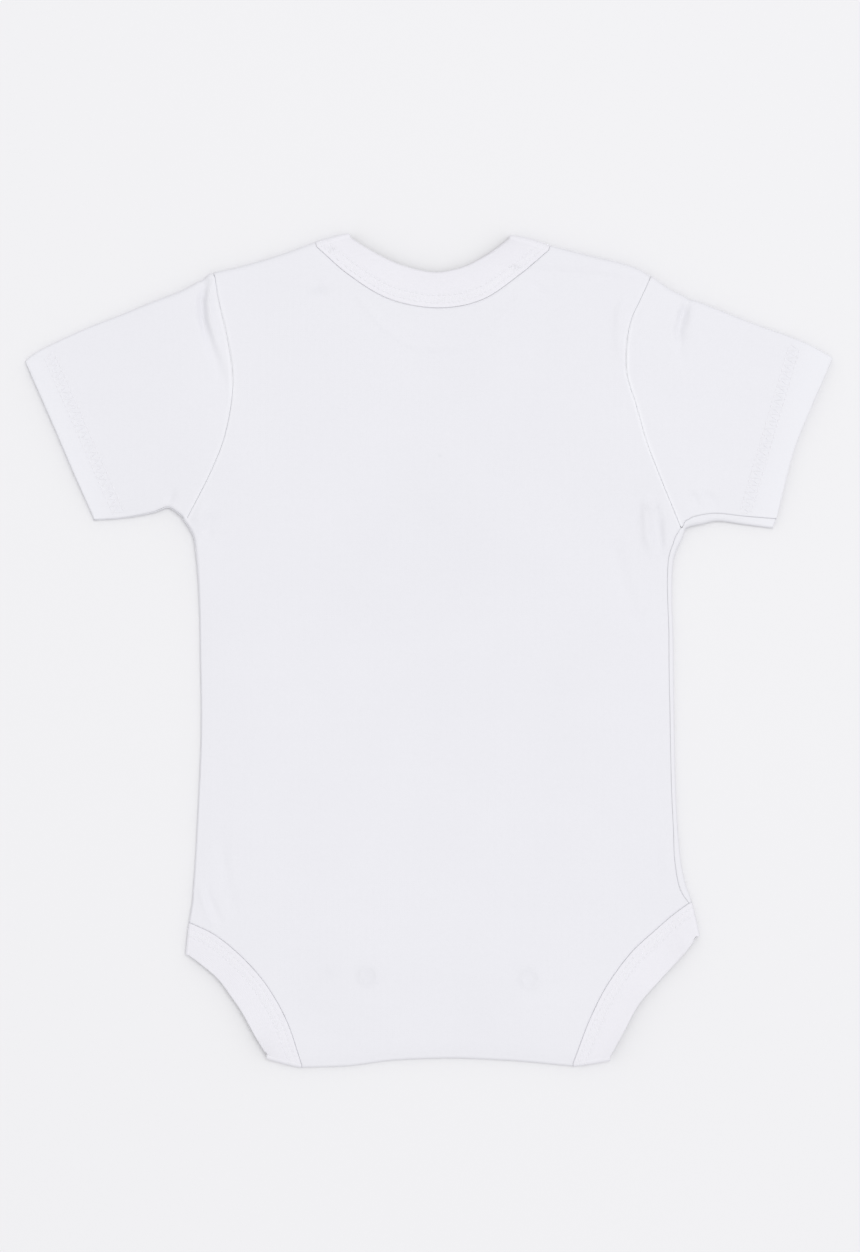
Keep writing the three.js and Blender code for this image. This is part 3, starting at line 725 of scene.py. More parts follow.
def filled(top, bottom, left, right):
    """A grid of places that fills four edges, each blended with the one opposite."""
    u = np.linspace(0.0, 1.0, len(top))[None, :, None]
    v = np.linspace(0.0, 1.0, len(left))[:, None, None]
    edges = mix(top[None], bottom[None], v) + mix(left[:, None], right[:, None], u)
    corners = mix(mix(top[0], top[-1], u), mix(bottom[0], bottom[-1], u), v)
    return edges - corners


def upper_layer(plan, height):
    high = height(plan)
    return Layer(plan, high, high, np.zeros_like(high), (0.0, 0.0))


def lower_layer(plan, height):
    return upper_layer(plan, height)._replace(turn=np.ones(plan.shape[:-1]))


def folded(line, high, low, facing, first=0.0, last=1.0):
    """The half round where a line of the upper layer turns under to the lower one, or part of it."""
    turn = np.linspace(first, last, TURN_STEPS + 1)[:, None] * np.ones(len(line))
    plan = np.broadcast_to(line, (TURN_STEPS + 1, *line.shape))
    return Layer(plan, high(plan), low(plan), turn, facing)


def placed(cloth, offset, lift):
    """A layer's places in space, moved out from the cloth's middle by the offset."""
    angle = np.pi * cloth.turn
    radius = (cloth.high - cloth.low) / 2 + offset
    reach = radius * np.sin(angle)
    x = cloth.plan[..., 0] + cloth.facing[0] * reach - OUTLINE_CENTRE[0]
    y = cloth.plan[..., 1] + cloth.facing[1] * reach - OUTLINE_CENTRE[1]
    z = (cloth.high + cloth.low) / 2 + radius * np.cos(angle) + lift
    return np.stack([x, y, z], axis=-1)


def strip_grid(rows, count):
    """A binding's grid: a row for each place along it, from just off the seam to the free edge."""
    seam, edge = seam_line(rows, count), edge_line(rows, count)
    start = (CLOTH_GAP / np.linalg.norm(edge - seam, axis=1))[:, None, None]
    share = mix(start, 1.0, np.linspace(0.0, 1.0, BAND_COLUMNS + 1)[None, :, None])
    return mix(seam[:, None], edge[:, None], share)


def spread(cloth):
    """Places of a layer as if it were laid out flat, in millimetres, for the pattern of the knit."""
    run = np.pi * (cloth.high - cloth.low) / 2 * cloth.turn
    return np.stack([cloth.plan[..., axis] + cloth.facing[axis] * run for axis in (0, 1)], axis=-1)


def strip_spread(cloth):
    """The same for a binding: how far along it, and how far across it from the seam."""
    steps = np.linalg.norm(np.diff(cloth.plan[:, 0], axis=0), axis=1)
    along = np.concatenate([[0.0], np.cumsum(steps)])[:, None]
    run = np.pi * (cloth.high - cloth.low) / 2 * cloth.turn
    wide = np.linalg.norm(cloth.plan - cloth.plan[:, :1], axis=2)
    return np.stack([along + run, wide], axis=-1)


def unit(vectors):
    return vectors / np.maximum(np.linalg.norm(vectors, axis=-1, keepdims=True), 1e-9)


# Meshes



def mesh_object(name, places, faces, uvs=None, smooth_faces=None):
    """An object from places in millimetres. Each face is smooth unless the marks say otherwise."""
    mesh = bpy.data.meshes.new(name)
    mesh.from_pydata((np.asarray(places) * MM).tolist(), [], faces)
    mesh.polygons.foreach_set("use_smooth", smooth_faces or [True] * len(faces))
    if uvs is not None:
        layer_of_uvs = mesh.uv_layers.new(name="flat_millimetres")
        layer_of_uvs.data.foreach_set("uv", np.asarray(uvs, float).reshape(-1))
    mesh.update()
    made = bpy.data.objects.new(name, mesh)
    bpy.context.scene.collection.objects.link(made)
    return made


def rim_share(places):
    """How far in a rim's rounding reaches: little at tight parts of a seam, more at a free edge."""
    x, y = places[:, 0] + OUTLINE_CENTRE[0], places[:, 1] + OUTLINE_CENTRE[1]
    share = mix(*RIM_SHARES, mix(*SEAM_DEPTHS, unevenness(x, y)))
    for side in SIDES:
        by_armhole = line_distance(ARMHOLE[side], x, y) < SEAM_NEAR
        share = np.where(by_armhole, mix(*RIM_SHARES, armhole_depth(side, y)), share)
    free = np.min([line_distance(rows, x, y) for rows in FREE_EDGES], axis=0) < SEAM_NEAR
    return np.where(free, FREE_RIM_SHARE, share)


def cell_corners(layers):
    """The corners of every cell of the layers, and the eight places round every square of four."""
    cells, squares, total = [], [], 0
    for cloth in layers:
        n = np.arange(cloth.high.size).reshape(cloth.high.shape) + total
        total += cloth.high.size
        corners = [n[:-1, :-1], n[1:, :-1], n[1:, 1:], n[:-1, 1:]]
        around = [
            n[:-2:2, :-2:2], n[1:-1:2, :-2:2], n[2::2, :-2:2], n[2::2, 1:-1:2],
            n[2::2, 2::2], n[1:-1:2, 2::2], n[:-2:2, 2::2], n[:-2:2, 1:-1:2],
        ]
        cells.append(np.stack(corners, axis=-1).reshape(-1, len(corners)))
        squares.append(np.stack(around, axis=-1).reshape(-1, len(around)))
    return np.vstack(cells), np.vstack(squares)


def open_edges(corners):
    """The edges that only one cell has: the points that each runs from and to."""
    starts, ends = corners.reshape(-1), np.roll(corners, -1, axis=1).reshape(-1)
    kept = starts != ends
    starts, ends = starts[kept], ends[kept]
    count = corners.max() + 1
    single = ~np.isin(starts * count + ends, ends * count + starts)
    return starts[single], ends[single]


def polygons(corners, places, used, number):
    """Faces from rows of points, and the places on the grids that their corners come from. A corner
    is left out where it repeats the last one, or is a middle one that nothing else uses."""
    faces, origins = [], []
    for row, origin in zip(corners.tolist(), places.tolist()):
        kept = [k for k in range(len(row)) if k % 2 == 0 or used[row[k]]]
        kept = [k for k, last in zip(kept, kept[-1:] + kept[:-1]) if row[k] != row[last]]
        if len(kept) > 2:
            faces.append([number[row[k]] for k in kept])
            origins.extend(origin[k] for k in kept)
    return faces, origins


def rounded_rim(middle, outer, inner, starts, ends):
    """Draws both faces in along the open edges. Gives the edge points, the rings of points that round
    the rim, and which edge points are tight."""
    following, leading = np.arange(len(middle)), np.arange(len(middle))
    following[starts] = ends
    leading[ends] = starts
    border = np.unique(np.concatenate([starts, ends]))
    upward = unit(outer[border] - inner[border])
    inward = unit(np.cross(upward, middle[following[border]] - middle[leading[border]]))
    half = np.linalg.norm(outer[border] - inner[border], axis=1, keepdims=True) / 2
    share = rim_share(middle[border])
    pull = inward * 2 * half * share[:, None]
    rings = [
        middle[border] + pull * (1 - math.cos(angle)) + upward * half * math.sin(angle)
        for angle in np.radians(RIM_ANGLES)
    ]
    outer[border] += pull
    inner[border] += pull
    return border, rings, share < TIGHT_SHARE


def shell(name, layers, spreads, walls, lift=0.0):
    """A closed thin sheet from layers that share edges, with rounded rims. Also gives its area.

    The outer face has all the cells, and the inner one has a cell for every four of them.
    """
    cells, squares = cell_corners(layers)
    flat = np.vstack([places.reshape(-1, 2) for places in spreads])
    middle, outer, inner = (
        np.vstack([
            placed(cloth, offset * wall / 2, lift).reshape(-1, 3) for cloth, wall in zip(layers, walls)
        ])
        for offset in (0, 1, -1)
    )
    keys = np.floor(middle * KEY_SCALE + KEY_SHIFT).astype(np.int64)
    _, first, number = np.unique(keys, axis=0, return_index=True, return_inverse=True)
    number = number.reshape(-1)
    middle, outer, inner, rim_flat = middle[first], outer[first], inner[first], flat[first]

    def facing_out(rows):
        a, b, c, d = (number[rows[:, k * rows.shape[1] // 4]] for k in range(4))
        normal = np.cross(middle[c] - middle[a], middle[d] - middle[b])
        return normal, (normal * (outer - inner)[a]).sum(axis=1) > 0

    normal, out = facing_out(cells)
    cells[~out] = cells[~out, ::-1]
    _, out = facing_out(squares)
    squares[out] = np.roll(squares[out, ::-1], 1, axis=1)
    corners, square_corners = number[cells], number[squares]
    starts, ends = open_edges(corners)
    border, rings, tight_border = rounded_rim(middle, outer, inner, starts, ends)

    count = len(middle)
    on_border, tight, ring_row = np.zeros(count, bool), np.zeros(count, bool), np.zeros(count, np.int64)
    on_border[border] = True
    tight[border] = tight_border
    ring_row[border] = np.arange(len(border))
    shown = on_border.copy()
    shown[square_corners[:, ::2]] = True
    inner_row = np.cumsum(shown) - 1 + count
    faces, origins = polygons(corners, cells, [True] * count, range(count))
    inside = polygons(square_corners, squares, on_border.tolist(), inner_row.tolist())
    faces, origins = faces + inside[0], origins + inside[1]

    base = count + shown.sum()
    ring_rows = [base + k * len(border) + ring_row for k in range(len(rings))]
    chain = [np.arange(count), *ring_rows, inner_row]
    rim = np.vstack([
        np.stack([upper[ends], upper[starts], lower[starts], lower[ends]], axis=-1)
        for upper, lower in zip(chain, chain[1:])
    ])
    strips = len(chain) - 1
    rim_places = np.tile(np.stack([ends, starts, starts, ends], axis=-1), (strips, 1))
    rim_smooth = np.tile(~(tight[starts] & tight[ends]), strips)
    made = mesh_object(
        name,
        np.vstack([outer, inner[shown], *rings]),
        faces + rim.tolist(),
        np.vstack([flat[origins], rim_flat[rim_places.reshape(-1)]]),
        [True] * len(faces) + rim_smooth.tolist(),
    )
    # How closed the armhole seams are at each point, for the painted highlight along them
    plan = np.vstack([middle, middle[shown], *(middle[border] for _ in rings)])[:, :2] + OUTLINE_CENTRE
    pale = made.data.attributes.new(SEAM_HIGHLIGHT_ATTRIBUTE, "FLOAT", "POINT")
    pale.data.foreach_set("value", sum(closed_seam(side, plan[:, 0], plan[:, 1]) for side in SIDES))
    return made, float(np.linalg.norm(normal, axis=1).sum() / 2 * MM * MM)


def panel(name, layers, walls):
    return shell(name, layers, [spread(cloth) for cloth in layers], walls)


# The cut of each piece



def rolled_edge(fold, seam, high, low, facing, tapers):
    """Layers of an edge that the lower cloth rolls round: those of the lower cloth, those of the
    upper one, and the line where the upper one's own grid ends. The roll narrows to nothing at its
    start, and also at its end where it tapers."""
    if seam is None:
        below = [folded(fold, high, low, facing, EDGE_SEAM + EDGE_GAP, 1.0)]
        return below, [folded(fold, high, low, facing, 0.0, EDGE_SEAM - EDGE_GAP)], fold
    facing_way = np.array(facing)
    width = (fold - seam) @ facing_way
    least = ROLL_WIDTH * smooth(np.linspace(0.0, 1.0, len(fold)) / ROLL_TAPER)
    if tapers:
        least = least * least[::-1] / ROLL_WIDTH
    seam = seam - facing_way * np.maximum(least - width, 0.0)[:, None]
    strip_gap = np.minimum(CLOTH_GAP, np.maximum((fold - seam) @ facing_way, 0.0))[:, None]
    share = np.linspace(0.0, 1.0, ROLL_COLUMNS + 1)[:, None, None]
    strip = mix(fold[None], seam[None] + strip_gap * facing_way, share)
    return [folded(fold, high, low, facing), upper_layer(strip, high)], [], seam


def body_roll(side):
    """The rolled side edge of the body: where it turns, and its rolled layers."""
    share = np.linspace(0.0, 1.0, SIDE_ROWS + 1)
    inset = ROLL_INSET * smooth(share / ROLL_TAPER) * smooth((1 - share) / ROLL_TAPER)
    fold = evenly(SIDE[side], SIDE_ROWS) - inset[:, None] * np.array(SIDE_FACING[side])
    seam = evenly(ROLLED_SIDE[side], SIDE_ROWS) if side in ROLLED_SIDE else None
    return fold, rolled_edge(fold, seam, back_height, front_height, SIDE_FACING[side], True)


def shoulder_fold(side, strip):
    rows = [*SHOULDER[side][:-1], Point(strip[0].seam_x, strip[0].seam_y)]
    return evenly(rows, SHOULDER_COLUMNS)


def wing_grid(side, fold, strip):
    """The wing of a panel past a shoulder fold: it narrows toward the armhole."""
    seam = seam_line(strip, WING_ROWS)
    armhole = evenly(ARMHOLE[side], ARMHOLE_SEARCH)
    reach = int(np.argmax(armhole[:, 1] < seam[-1, 1] + WING_TIP)) / ARMHOLE_SEARCH
    places = np.linspace(0.0, reach, WING_ROWS + 1) * ARMHOLE_SEARCH
    edge = np.stack(
        [np.interp(places, np.arange(ARMHOLE_SEARCH + 1), armhole[:, axis]) for axis in (0, 1)], axis=-1
    )
    return filled(fold, straight(edge[-1], seam[-1], SHOULDER_COLUMNS), edge, seam)


def body_grids(folds, sides, neck, legs, crotch):
    """The flat layer of a panel: a strap on each side of the neck, and the body below them."""
    neck_seam = seam_line(neck, NECK_COLUMNS)
    neck_sides = {"left": neck_seam, "right": neck_seam[::-1]}
    straps = []
    for side in SIDES:
        outer, inner = sides[side][:STRAP_ROWS + 1], neck_sides[side][:STRAP_ROWS + 1]
        end = straight(outer[-1], inner[-1], SHOULDER_COLUMNS)
        straps.append(filled(folds[side], end, outer, inner))
    left, right = straps[0][-1, :, :2], straps[1][-1, :, :2]
    top = joined(left, neck_seam[STRAP_ROWS:-STRAP_ROWS], right[::-1])
    bottom = joined(
        seam_line(legs["left"], LEG_COLUMNS), crotch, seam_line(legs["right"], LEG_COLUMNS)[::-1]
    )
    return [*straps, filled(top, bottom, sides["left"][STRAP_ROWS:], sides["right"][STRAP_ROWS:])]


def back_panel():
    """The back turns under at both shoulders, as wings that lap over the front, and at the crotch."""
    folds = {side: shoulder_fold(side, BACK_WING[side]) for side in SIDES}
    rolls = {side: body_roll(side)[1] for side in SIDES}
    sides = {side: joined(evenly(ARMHOLE[side], ARMHOLE_ROWS), rolls[side][2]) for side in SIDES}
    crotch = evenly(CROTCH, CROTCH_COLUMNS)
    flap_left, flap_right = (seam_line(FLAP_SIDE[side], FLAP_ROWS) for side in SIDES)
    flap_end = straight(flap_left[-1], flap_right[-1], CROTCH_COLUMNS)
    grids = body_grids(folds, sides, BACK_NECK, BACK_LEG, crotch)
    layers = [
        *(upper_layer(grid, back_height) for grid in grids),
        folded(crotch, back_height, flap_height, CROTCH_FACING),
        lower_layer(filled(crotch, flap_end, flap_left, flap_right), flap_height),
    ]
    for side in SIDES:
        wing = wing_grid(side, folds[side], BACK_WING[side])
        layers.append(folded(folds[side], back_height, floor_height, SHOULDER_FACING[side]))
        layers.append(lower_layer(wing, floor_height))
        layers.extend(rolls[side][1])
    return panel("back_panel_cloth", layers, [CLOTH] * len(layers))


def front_panel():
    """The front lies on the floor, ends in a tab and rolls up round both sides of the body."""
    folds = {side: shoulder_fold(side, FRONT_WING[side]) for side in SIDES}
    tab_end = straight(*(seams_of(FRONT_LEG[side])[-1] for side in SIDES), CROTCH_COLUMNS)
    rolls = {side: body_roll(side) for side in SIDES}
    sides = {side: joined(evenly(ARMHOLE[side], ARMHOLE_ROWS), rolls[side][0]) for side in SIDES}
    grids = body_grids(folds, sides, FRONT_NECK, FRONT_LEG, tab_end)
    layers = [lower_layer(grid, front_height) for grid in grids]
    for side in SIDES:
        wing = wing_grid(side, folds[side], FRONT_WING[side])
        layers.extend(rolls[side][1][0])
        layers.append(folded(folds[side], front_wing_height, front_height, SHOULDER_FACING[side]))
        layers.append(upper_layer(wing, front_wing_height))
    return panel("front_panel_cloth", layers, [CLOTH] * len(layers))


def grooved(cloth):
    """A binding's thickness: it dips a little under each row of stitches."""
    wide = strip_spread(cloth)[..., 1]
    dip = sum(np.exp(-(((wide - row) / GROOVE_WIDTH) ** 2)) for row in STITCH_ROWS)
    return BAND_CLOTH - 2 * GROOVE_DEPTH * dip


def reverse(cloth):
    return Layer(cloth.plan[::-1], cloth.high[::-1], cloth.low[::-1], cloth.turn[::-1], cloth.facing)


def neck_layers(neck, wings, high, low, face_up):
    """A neck binding: one wing, its fold, the neck, the other fold and its wing. The back's faces up
    at the neck, and the front's faces down."""
    middle = strip_grid(neck, NECK_COLUMNS)
    ends = {"left": middle[0], "right": middle[-1]}
    parts = {}
    for side in SIDES:
        fold = folded(ends[side], high, low, SHOULDER_FACING[side])
        wing = strip_grid(wings[side], WING_COLUMNS)
        parts[side] = (
            [fold, lower_layer(wing, low)] if face_up else [reverse(fold), upper_layer(wing, high)]
        )
    left = [reverse(cloth) for cloth in reversed(parts["left"])]
    at_neck = upper_layer(middle, high) if face_up else lower_layer(middle, low)
    return [*left, at_neck, *parts["right"]]


def leg_layers(side):
    """From the end of the flap round the crotch fold, the back leg and the side to the front tab."""
    back_leg = strip_grid(BACK_LEG[side], LEG_COLUMNS)
    return [
        reverse(lower_layer(strip_grid(FLAP_SIDE[side], FLAP_ROWS), flap_height)),
        reverse(folded(back_leg[-1], back_height, flap_height, CROTCH_FACING)),
        reverse(upper_layer(back_leg, back_height)),
        folded(back_leg[0], back_height, front_height, LEG_FACING[side]),
        lower_layer(strip_grid(FRONT_LEG[side], LEG_COLUMNS), front_height),
    ]


def sleeve(side):
    """One piece folded along its top edge and rolled up at the underarm, with an open hemmed cuff."""
    armhole = evenly(ARMHOLE[side], ARMHOLE_ROWS)
    armhole[:, 0] += TOWARD_CUFF[side] * mix(*ARMHOLE_GAPS, armhole_depth(side, armhole[:, 1]))
    high, low = sleeve_height(side), sleeve_floor(side)
    top = evenly(SLEEVE_TOP[side], SLEEVE_STEPS)
    inset = ROLL_INSET * smooth(np.linspace(0.0, 1.0, SLEEVE_STEPS + 1) / ROLL_TAPER)
    fold = evenly(UNDERARM[side], SLEEVE_STEPS) - inset[:, None] * np.array(UNDERARM_FACING)
    top[0], fold[0] = armhole[0], armhole[-1]
    seam = evenly(ROLLED_UNDERARM[side], SLEEVE_STEPS) if side in ROLLED_UNDERARM else None
    below, above, end = rolled_edge(fold, seam, high, low, UNDERARM_FACING, False)

    def grid(bottom):
        head = np.vstack([armhole[:-1], bottom[:1]])
        return filled(top, bottom, head, evenly([*CUFF[side][:-1], bottom[-1]], ARMHOLE_ROWS))

    layers = [
        upper_layer(grid(end), high),
        *above,
        folded(top, high, low, SLEEVE_FACING[side]),
        lower_layer(grid(fold), low),
        *below,
    ]
    walls = [CLOTH + HEM_EXTRA * hem_share(cloth.plan, side) for cloth in layers]
    return panel(f"sleeve_{side}_cloth", layers, walls)


# Stitches



def band_path(layers, away):
    """A line on the outer face of a binding, at one distance from its seam, with its way up."""
    places, ups = [], []
    for cloth in layers:
        wide = strip_spread(cloth)[..., 1]
        outer = placed(cloth, grooved(cloth) / 2, BAND_LIFT)
        middle = placed(cloth, 0.0, BAND_LIFT)
        for row in range(len(wide)):
            places.append([np.interp(away, wide[row], outer[row, :, axis]) for axis in range(3)])
            ups.append([np.interp(away, wide[row], (outer - middle)[row, :, axis]) for axis in range(3)])
    return np.array(places), unit(np.array(ups))


def hem_path(side, height, up, away):
    """A line across a sleeve on the outer face of one layer, beside the hem's first stitch row."""
    (ax, ay), (bx, by) = HEM[side]
    outward = TOWARD_CUFF[side] * away / math.hypot(bx - ax, by - ay)
    share = np.linspace(HEM_MARGIN, 1.0 - HEM_MARGIN, HEM_STEPS)
    x = mix(ax, bx, share) + outward * (ay - by)
    y = mix(ay, by, share) - outward * (ax - bx)
    plan = np.stack([x, y], axis=-1)
    wall = CLOTH + HEM_EXTRA * hem_share(plan, side)
    z = height(plan) + up * wall / 2
    places = np.stack([x - OUTLINE_CENTRE[0], y - OUTLINE_CENTRE[1], z], axis=-1)
    return places, np.broadcast_to([0.0, 0.0, float(up)], places.shape)


def along_path(path, at):
    places, ups = path
    run = np.concatenate([[0.0], np.cumsum(np.linalg.norm(np.diff(places, axis=0), axis=1))])
    return tuple(
        np.stack([np.interp(at, run, values[:, axis]) for axis in range(3)], axis=-1)
        for values in (places, ups)
    )


def path_length(path):
    return float(np.linalg.norm(np.diff(path[0], axis=0), axis=1).sum())


def straight_stitches(path):
    """A row of separate stitches: the middle line of each, with its way up."""
    starts = np.arange(STITCH_PITCH / 2, path_length(path) - STITCH_PITCH, STITCH_PITCH)
    share = STITCH_LENGTH * np.linspace(0.0, 1.0, len(STITCH_PROFILE))
    return [along_path(path, start + share) for start in starts]


def looper_stitches(first, second):
    """The thread that crosses back and forth between two rows."""
    count = int(min(path_length(first), path_length(second)) / LOOPER_STEP)
    ends = [
        along_path(path, np.linspace(0.0, path_length(path), count + 1)) for path in (first, second)
    ]
    share = np.linspace(0.0, 1.0, len(STITCH_PROFILE))[:, None]
    return [
        tuple(mix(ends[k % 2][part][k], ends[1 - k % 2][part][k + 1], share) for part in (0, 1))
        for k in range(count)
    ]


def stitching(name, rows):
    """Thread from pairs of a thickness and its stitches, each a small rod that ends in the cloth."""
    places, faces = [], []
    rings = len(STITCH_PROFILE)
    turns = np.arange(STITCH_SIDES) * 2 * math.pi / STITCH_SIDES
    for radius, stitches in rows:
        for centre, up in stitches:
            up = unit(up)
            side = unit(np.cross(unit(centre[-1] - centre[0]), up))
            first = len(places)
            for k, (size, rise) in enumerate(STITCH_PROFILE):
                for turn in turns:
                    around = up[k] * math.cos(turn) * STITCH_FLATNESS + side[k] * math.sin(turn)
                    places.append(centre[k] + up[k] * rise + around * radius * size)
            for k in range(rings - 1):
                start = first + k * STITCH_SIDES
                for s in range(STITCH_SIDES):
                    a, b = start + s, start + (s + 1) % STITCH_SIDES
                    faces.append([a, b, b + STITCH_SIDES, a + STITCH_SIDES])
            faces.append([first + s for s in reversed(range(STITCH_SIDES))])
            faces.append([first + (rings - 1) * STITCH_SIDES + s for s in range(STITCH_SIDES)])
    return mesh_object(name, places, faces)


def coverstitch(name, pairs):
    """Two rows of stitches with a crossing thread, for each pair of paths."""
    rows = []
    for first, second in pairs:
        rows += [(THREAD_RADIUS, straight_stitches(path)) for path in (first, second)]
        rows.append((LOOPER_RADIUS, looper_stitches(first, second)))
    return stitching(name, rows)


# Materials



def feed(tree, socket, value):
    """Links an input to another node's output, or sets its value."""
    if isinstance(value, bpy.types.NodeSocket):
        tree.links.new(value, socket)
    elif value is not None:
        socket.default_value = value


def feed_all(tree, node, values):
    for name, value in values.items():
        feed(tree, node.inputs[name], value)


def add_node(tree, kind, *values, **settings):
    """A shader node with its inputs fed in order."""
    made = tree.nodes.new(kind)
    for name, value in settings.items():
        setattr(made, name, value)
    for socket, value in zip(made.inputs, values):
        feed(tree, socket, value)
    return made


def sums(tree, operation, *values):
    return add_node(tree, "ShaderNodeMath", *values, operation=operation).outputs[0]


def times(tree, first, second):
    return sums(tree, "MULTIPLY", first, second)


def blend(tree, share, first, second):
    """A colour between two, by a share from 0 to 1."""
    made = add_node(tree, "ShaderNodeMix", data_type="RGBA")
    for name, value in (("Factor_Float", share), ("A_Color", first), ("B_Color", second)):
        feed(tree, next(socket for socket in made.inputs if socket.identifier == name), value)
    return next(socket for socket in made.outputs if socket.identifier == "Result_Color")


def bump(tree, height, depth, strength, under=None):
    made = tree.nodes.new("ShaderNodeBump")
    feed_all(tree, made, {"Strength": strength, "Distance": depth, "Height": height, "Normal": under})
    return made.outputs["Normal"]


def noise(tree, places, scale, detail=2.0):
    made = tree.nodes.new("ShaderNodeTexNoise")
    feed_all(tree, made, {"Vector": places, "Scale": scale, "Detail": detail})
    return made.outputs["Fac"] if "Fac" in made.outputs else made.outputs[0]


def new_material(name):
    """A material, its node tree, its surface shader, and the coordinates that its textures use."""
    made = bpy.data.materials.new(name)
    made.use_nodes = True
    tree = made.node_tree
    return made, tree, tree.nodes["Principled BSDF"], tree.nodes.new("ShaderNodeTexCoord").outputs


def knitted(tree, flat, knit):
    """Stocking stitch: columns of small slanted legs, from places in millimetres."""
    parts = add_node(tree, "ShaderNodeSeparateXYZ", flat).outputs
    column = sums(tree, "FRACT", sums(tree, "DIVIDE", parts[0], knit.wale))
    leg = sums(tree, "ABSOLUTE", sums(tree, "SUBTRACT", column, 0.5))
    ridge = sums(tree, "ABSOLUTE", sums(tree, "SINE", times(tree, column, 2 * math.pi)))
    row = sums(tree, "MULTIPLY_ADD", leg, knit.slant, sums(tree, "DIVIDE", parts[1], knit.course))
    wave = sums(tree, "SINE", times(tree, row, 2 * math.pi))
    return times(tree, ridge, sums(tree, "MULTIPLY_ADD", wave, ROW_SHARE, 1 - ROW_SHARE))


def from_place(tree, parts, x, y):
    """How far each point lies from a place of the tables, across and along, in metres."""
    return [
        sums(tree, "SUBTRACT", part, (value - centre) * MM)
        for part, value, centre in zip(parts, (x, y), OUTLINE_CENTRE)
    ]


def with_tones(tree, parts, cloud, colour, marks):
    """The colour with faint grey soft ovals, broken up by the cloud."""
    for tone in marks:
        across, along = from_place(tree, parts, tone.x, tone.y)
        across = sums(tree, "DIVIDE", across, tone.wide * MM)
        along = sums(tree, "DIVIDE", along, tone.high * MM)
        square = sums(tree, "ADD", times(tree, across, across), times(tree, along, along))
        mask = sums(tree, "EXPONENT", times(tree, square, -1.0))
        broken = times(tree, mask, times(tree, cloud, 2 * tone.strength))
        colour = blend(tree, broken, colour, TONE_COLOUR)
    return colour


def with_hem(tree, parts, colour, side):
    """The colour, paler from the hem's stitching to the cuff, where the cloth is double."""
    (ax, ay), (bx, by) = HEM[side]
    length = TOWARD_CUFF[side] * math.hypot(bx - ax, by - ay)
    across, along = from_place(tree, parts, ax, ay)
    across, along = times(tree, across, (ay - by) / length), times(tree, along, (bx - ax) / length)
    away = sums(tree, "DIVIDE", sums(tree, "ADD", across, along), HEM_FADE)
    past = add_node(tree, "ShaderNodeClamp", away).outputs[0]
    return blend(tree, times(tree, past, HEM_PALENESS), colour, HEM_COLOUR)


def cloth_material(name, light, shade, knit, marks=(), hem_side=None):
    made, tree, surface, coordinates = new_material(name)
    stitches = knitted(tree, coordinates["UV"], knit)
    places = coordinates["Object"]
    cloud = noise(tree, places, CLOUD_SCALE, CLOUD_DETAIL)
    fibre = noise(tree, places, FIBRE_SCALE)
    share = sums(tree, "MULTIPLY_ADD", cloud, CLOUD_SHARE, times(tree, fibre, 1 - CLOUD_SHARE))
    colour = blend(tree, share, light, shade)
    # Painted shade: the colour darkens in the hollows between the knit's stitches
    hollow = sums(tree, "SUBTRACT", 1.0, stitches)
    colour = blend(tree, times(tree, hollow, HOLLOW_SHADE), colour, shade)
    parts = add_node(tree, "ShaderNodeSeparateXYZ", places).outputs
    colour = with_tones(tree, parts, cloud, colour, marks)
    # Painted highlight: the colour turns pale along the closed armhole seams
    seam = add_node(tree, "ShaderNodeAttribute", attribute_name=SEAM_HIGHLIGHT_ATTRIBUTE).outputs["Fac"]
    colour = blend(tree, seam, colour, SEAM_HIGHLIGHT_COLOUR)
    if hem_side:
        colour = with_hem(tree, parts, colour, hem_side)
    fuzz = bump(tree, fibre, FUZZ_DEPTH, FUZZ_STRENGTH)
    raised = bump(tree, stitches, knit.depth, KNIT_STRENGTH, fuzz)
    feed_all(tree, surface, {"Base Color": colour, "Normal": raised, **CLOTH_FINISH})
    return made


def thread_material():
    made, tree, surface, coordinates = new_material("white_thread")
    wave = add_node(tree, "ShaderNodeTexWave", coordinates["Object"], bands_direction="DIAGONAL")
    feed_all(tree, wave, {"Scale": TWIST_SCALE})
    twist = wave.outputs["Fac"]
    # Painted shade: the thread's colour darkens in the grooves of its twist, where the bump is low
    colour = blend(tree, twist, THREAD_SHADE, THREAD_LIGHT)
    raised = bump(tree, twist, TWIST_DEPTH, TWIST_STRENGTH)
    feed_all(tree, surface, {"Base Color": colour, "Normal": raised, **THREAD_FINISH})
    return made


def metal_material():
    made, tree, surface, coordinates = new_material("snap_metal")
    tarnish = noise(tree, coordinates["Object"], TARNISH_SCALE, TARNISH_DETAIL)
    scratch = noise(tree, coordinates["Object"], SCRATCH_SCALE, 1.0)
    feed_all(tree, surface, {
        "Base Color": blend(tree, tarnish, METAL_SHADE, METAL_LIGHT),
        "Metallic": METALLIC,
        "Roughness": sums(tree, "MULTIPLY_ADD", tarnish, TARNISH_ROUGHNESS, METAL_ROUGHNESS),
        "Normal": bump(tree, scratch, SCRATCH_DEPTH, SCRATCH_STRENGTH),
    })
    return made


def floor_material():
    made, tree, surface, coordinates = new_material("pale_surface")
    colour = blend(tree, noise(tree, coordinates["Object"], FLOOR_SCALE), FLOOR_LIGHT, FLOOR_SHADE)
    feed_all(tree, surface, {"Base Color": colour, **FLOOR_FINISH})
    return made


jersey_back = cloth_material("jersey_back", JERSEY_LIGHT, JERSEY_SHADE, JERSEY_KNIT, TONES)
jersey = cloth_material("jersey_plain", JERSEY_LIGHT, JERSEY_SHADE, JERSEY_KNIT)
jersey_hemmed = {
    side: cloth_material(
        f"jersey_{side}_sleeve", JERSEY_LIGHT, JERSEY_SHADE, JERSEY_KNIT, hem_side=side
    )
    for side in SIDES
}
rib = cloth_material("rib_binding", BINDING_LIGHT, BINDING_SHADE, RIB_KNIT)
thread = thread_material()
metal = metal_material()


# The garment


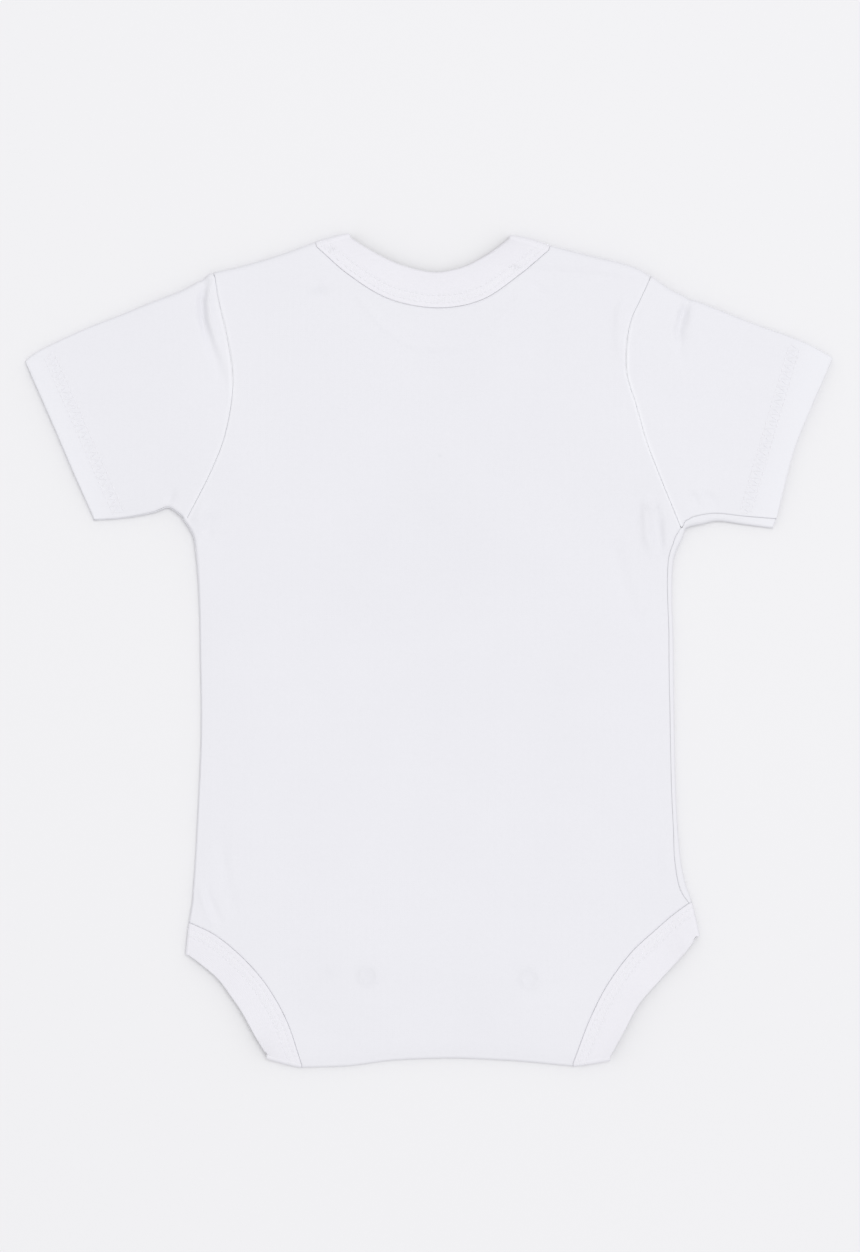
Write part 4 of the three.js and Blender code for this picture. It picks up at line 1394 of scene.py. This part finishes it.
def dress(made, node, material, stitches=None):
    """Gives a sheet of cloth its finish, puts it under the root body and hides the solid that it stands
    for; its stitches get the thread.
    """
    made.data.materials.append(material)
    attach(made, "root")
    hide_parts(node)
    if stitches:
        stitches.data.materials.append(thread)
        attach(stitches, "root")


def bind(node, layers):
    """A binding with its rows of stitches."""
    spreads, walls = [strip_spread(cloth) for cloth in layers], [grooved(cloth) for cloth in layers]
    band, area = shell(f"{node}_cloth", layers, spreads, walls, BAND_LIFT)
    stitches = coverstitch(f"{node}_stitching", [[band_path(layers, away) for away in STITCH_ROWS]])
    dress(band, node, rib, stitches)


front, area = front_panel()
dress(front, "front_panel", jersey)
back, area = back_panel()
dress(back, "back_panel", jersey_back)
back_neck = neck_layers(BACK_NECK, BACK_WING, back_height, floor_height, True)
bind("back_neck_binding", back_neck)
front_neck = neck_layers(FRONT_NECK, FRONT_WING, front_wing_height, front_height, False)
bind("front_neck_binding", front_neck)
for side in SIDES:
    bind(f"leg_binding_{side}", leg_layers(side))
    tube, area = sleeve(side)
    stitches = coverstitch(f"sleeve_{side}_stitching", [
        [hem_path(side, height, up, away) for away in HEM_ROWS]
        for height, up in ((sleeve_height(side), 1), (sleeve_floor(side), -1))
    ])
    dress(tube, f"sleeve_{side}", jersey_hemmed[side], stitches)
    for kind in ("cap", "ring"):
        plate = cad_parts[f"snap_{kind}_{side}"]
        plate.data.materials.clear()
        plate.data.materials.append(metal)


# The surface it lies on, the light and the camera

floor_corners = [
    (across * FLOOR_REACH, along * FLOOR_REACH, 0)
    for across, along in ((-1, -1), (1, -1), (1, 1), (-1, 1))
]
floor = mesh_object("pale_surface", floor_corners, [[0, 1, 2, 3]])
floor.location.z = -FLOOR_DROP * MM
floor.data.materials.append(floor_material())

scene = bpy.context.scene
scene.view_settings.view_transform = "Standard"
scene.world = bpy.data.worlds.new("soft_white_room")
scene.world.use_nodes = True
room = scene.world.node_tree
feed_all(room, room.nodes["Background"], {"Color": (1, 1, 1, 1), "Strength": ROOM_LIGHT})

lamp = bpy.data.lights.new("large_window", "AREA")
lamp.shape = "RECTANGLE"
lamp.size = WINDOW_SIZE
lamp.size_y = WINDOW_SIZE
lamp.energy = WINDOW_POWER
window = bpy.data.objects.new("large_window", lamp)
window.location = WINDOW_PLACE
window.rotation_euler = (-window.location).to_track_quat("-Z", "Y").to_euler()
scene.collection.objects.link(window)

lens = bpy.data.cameras.new("straight_above")
lens.lens = FOCAL_LENGTH
lens.sensor_width = SENSOR_WIDTH
camera = bpy.data.objects.new("straight_above", lens)
camera.location = CAMERA_PLACE
scene.collection.objects.link(camera)
scene.camera = camera
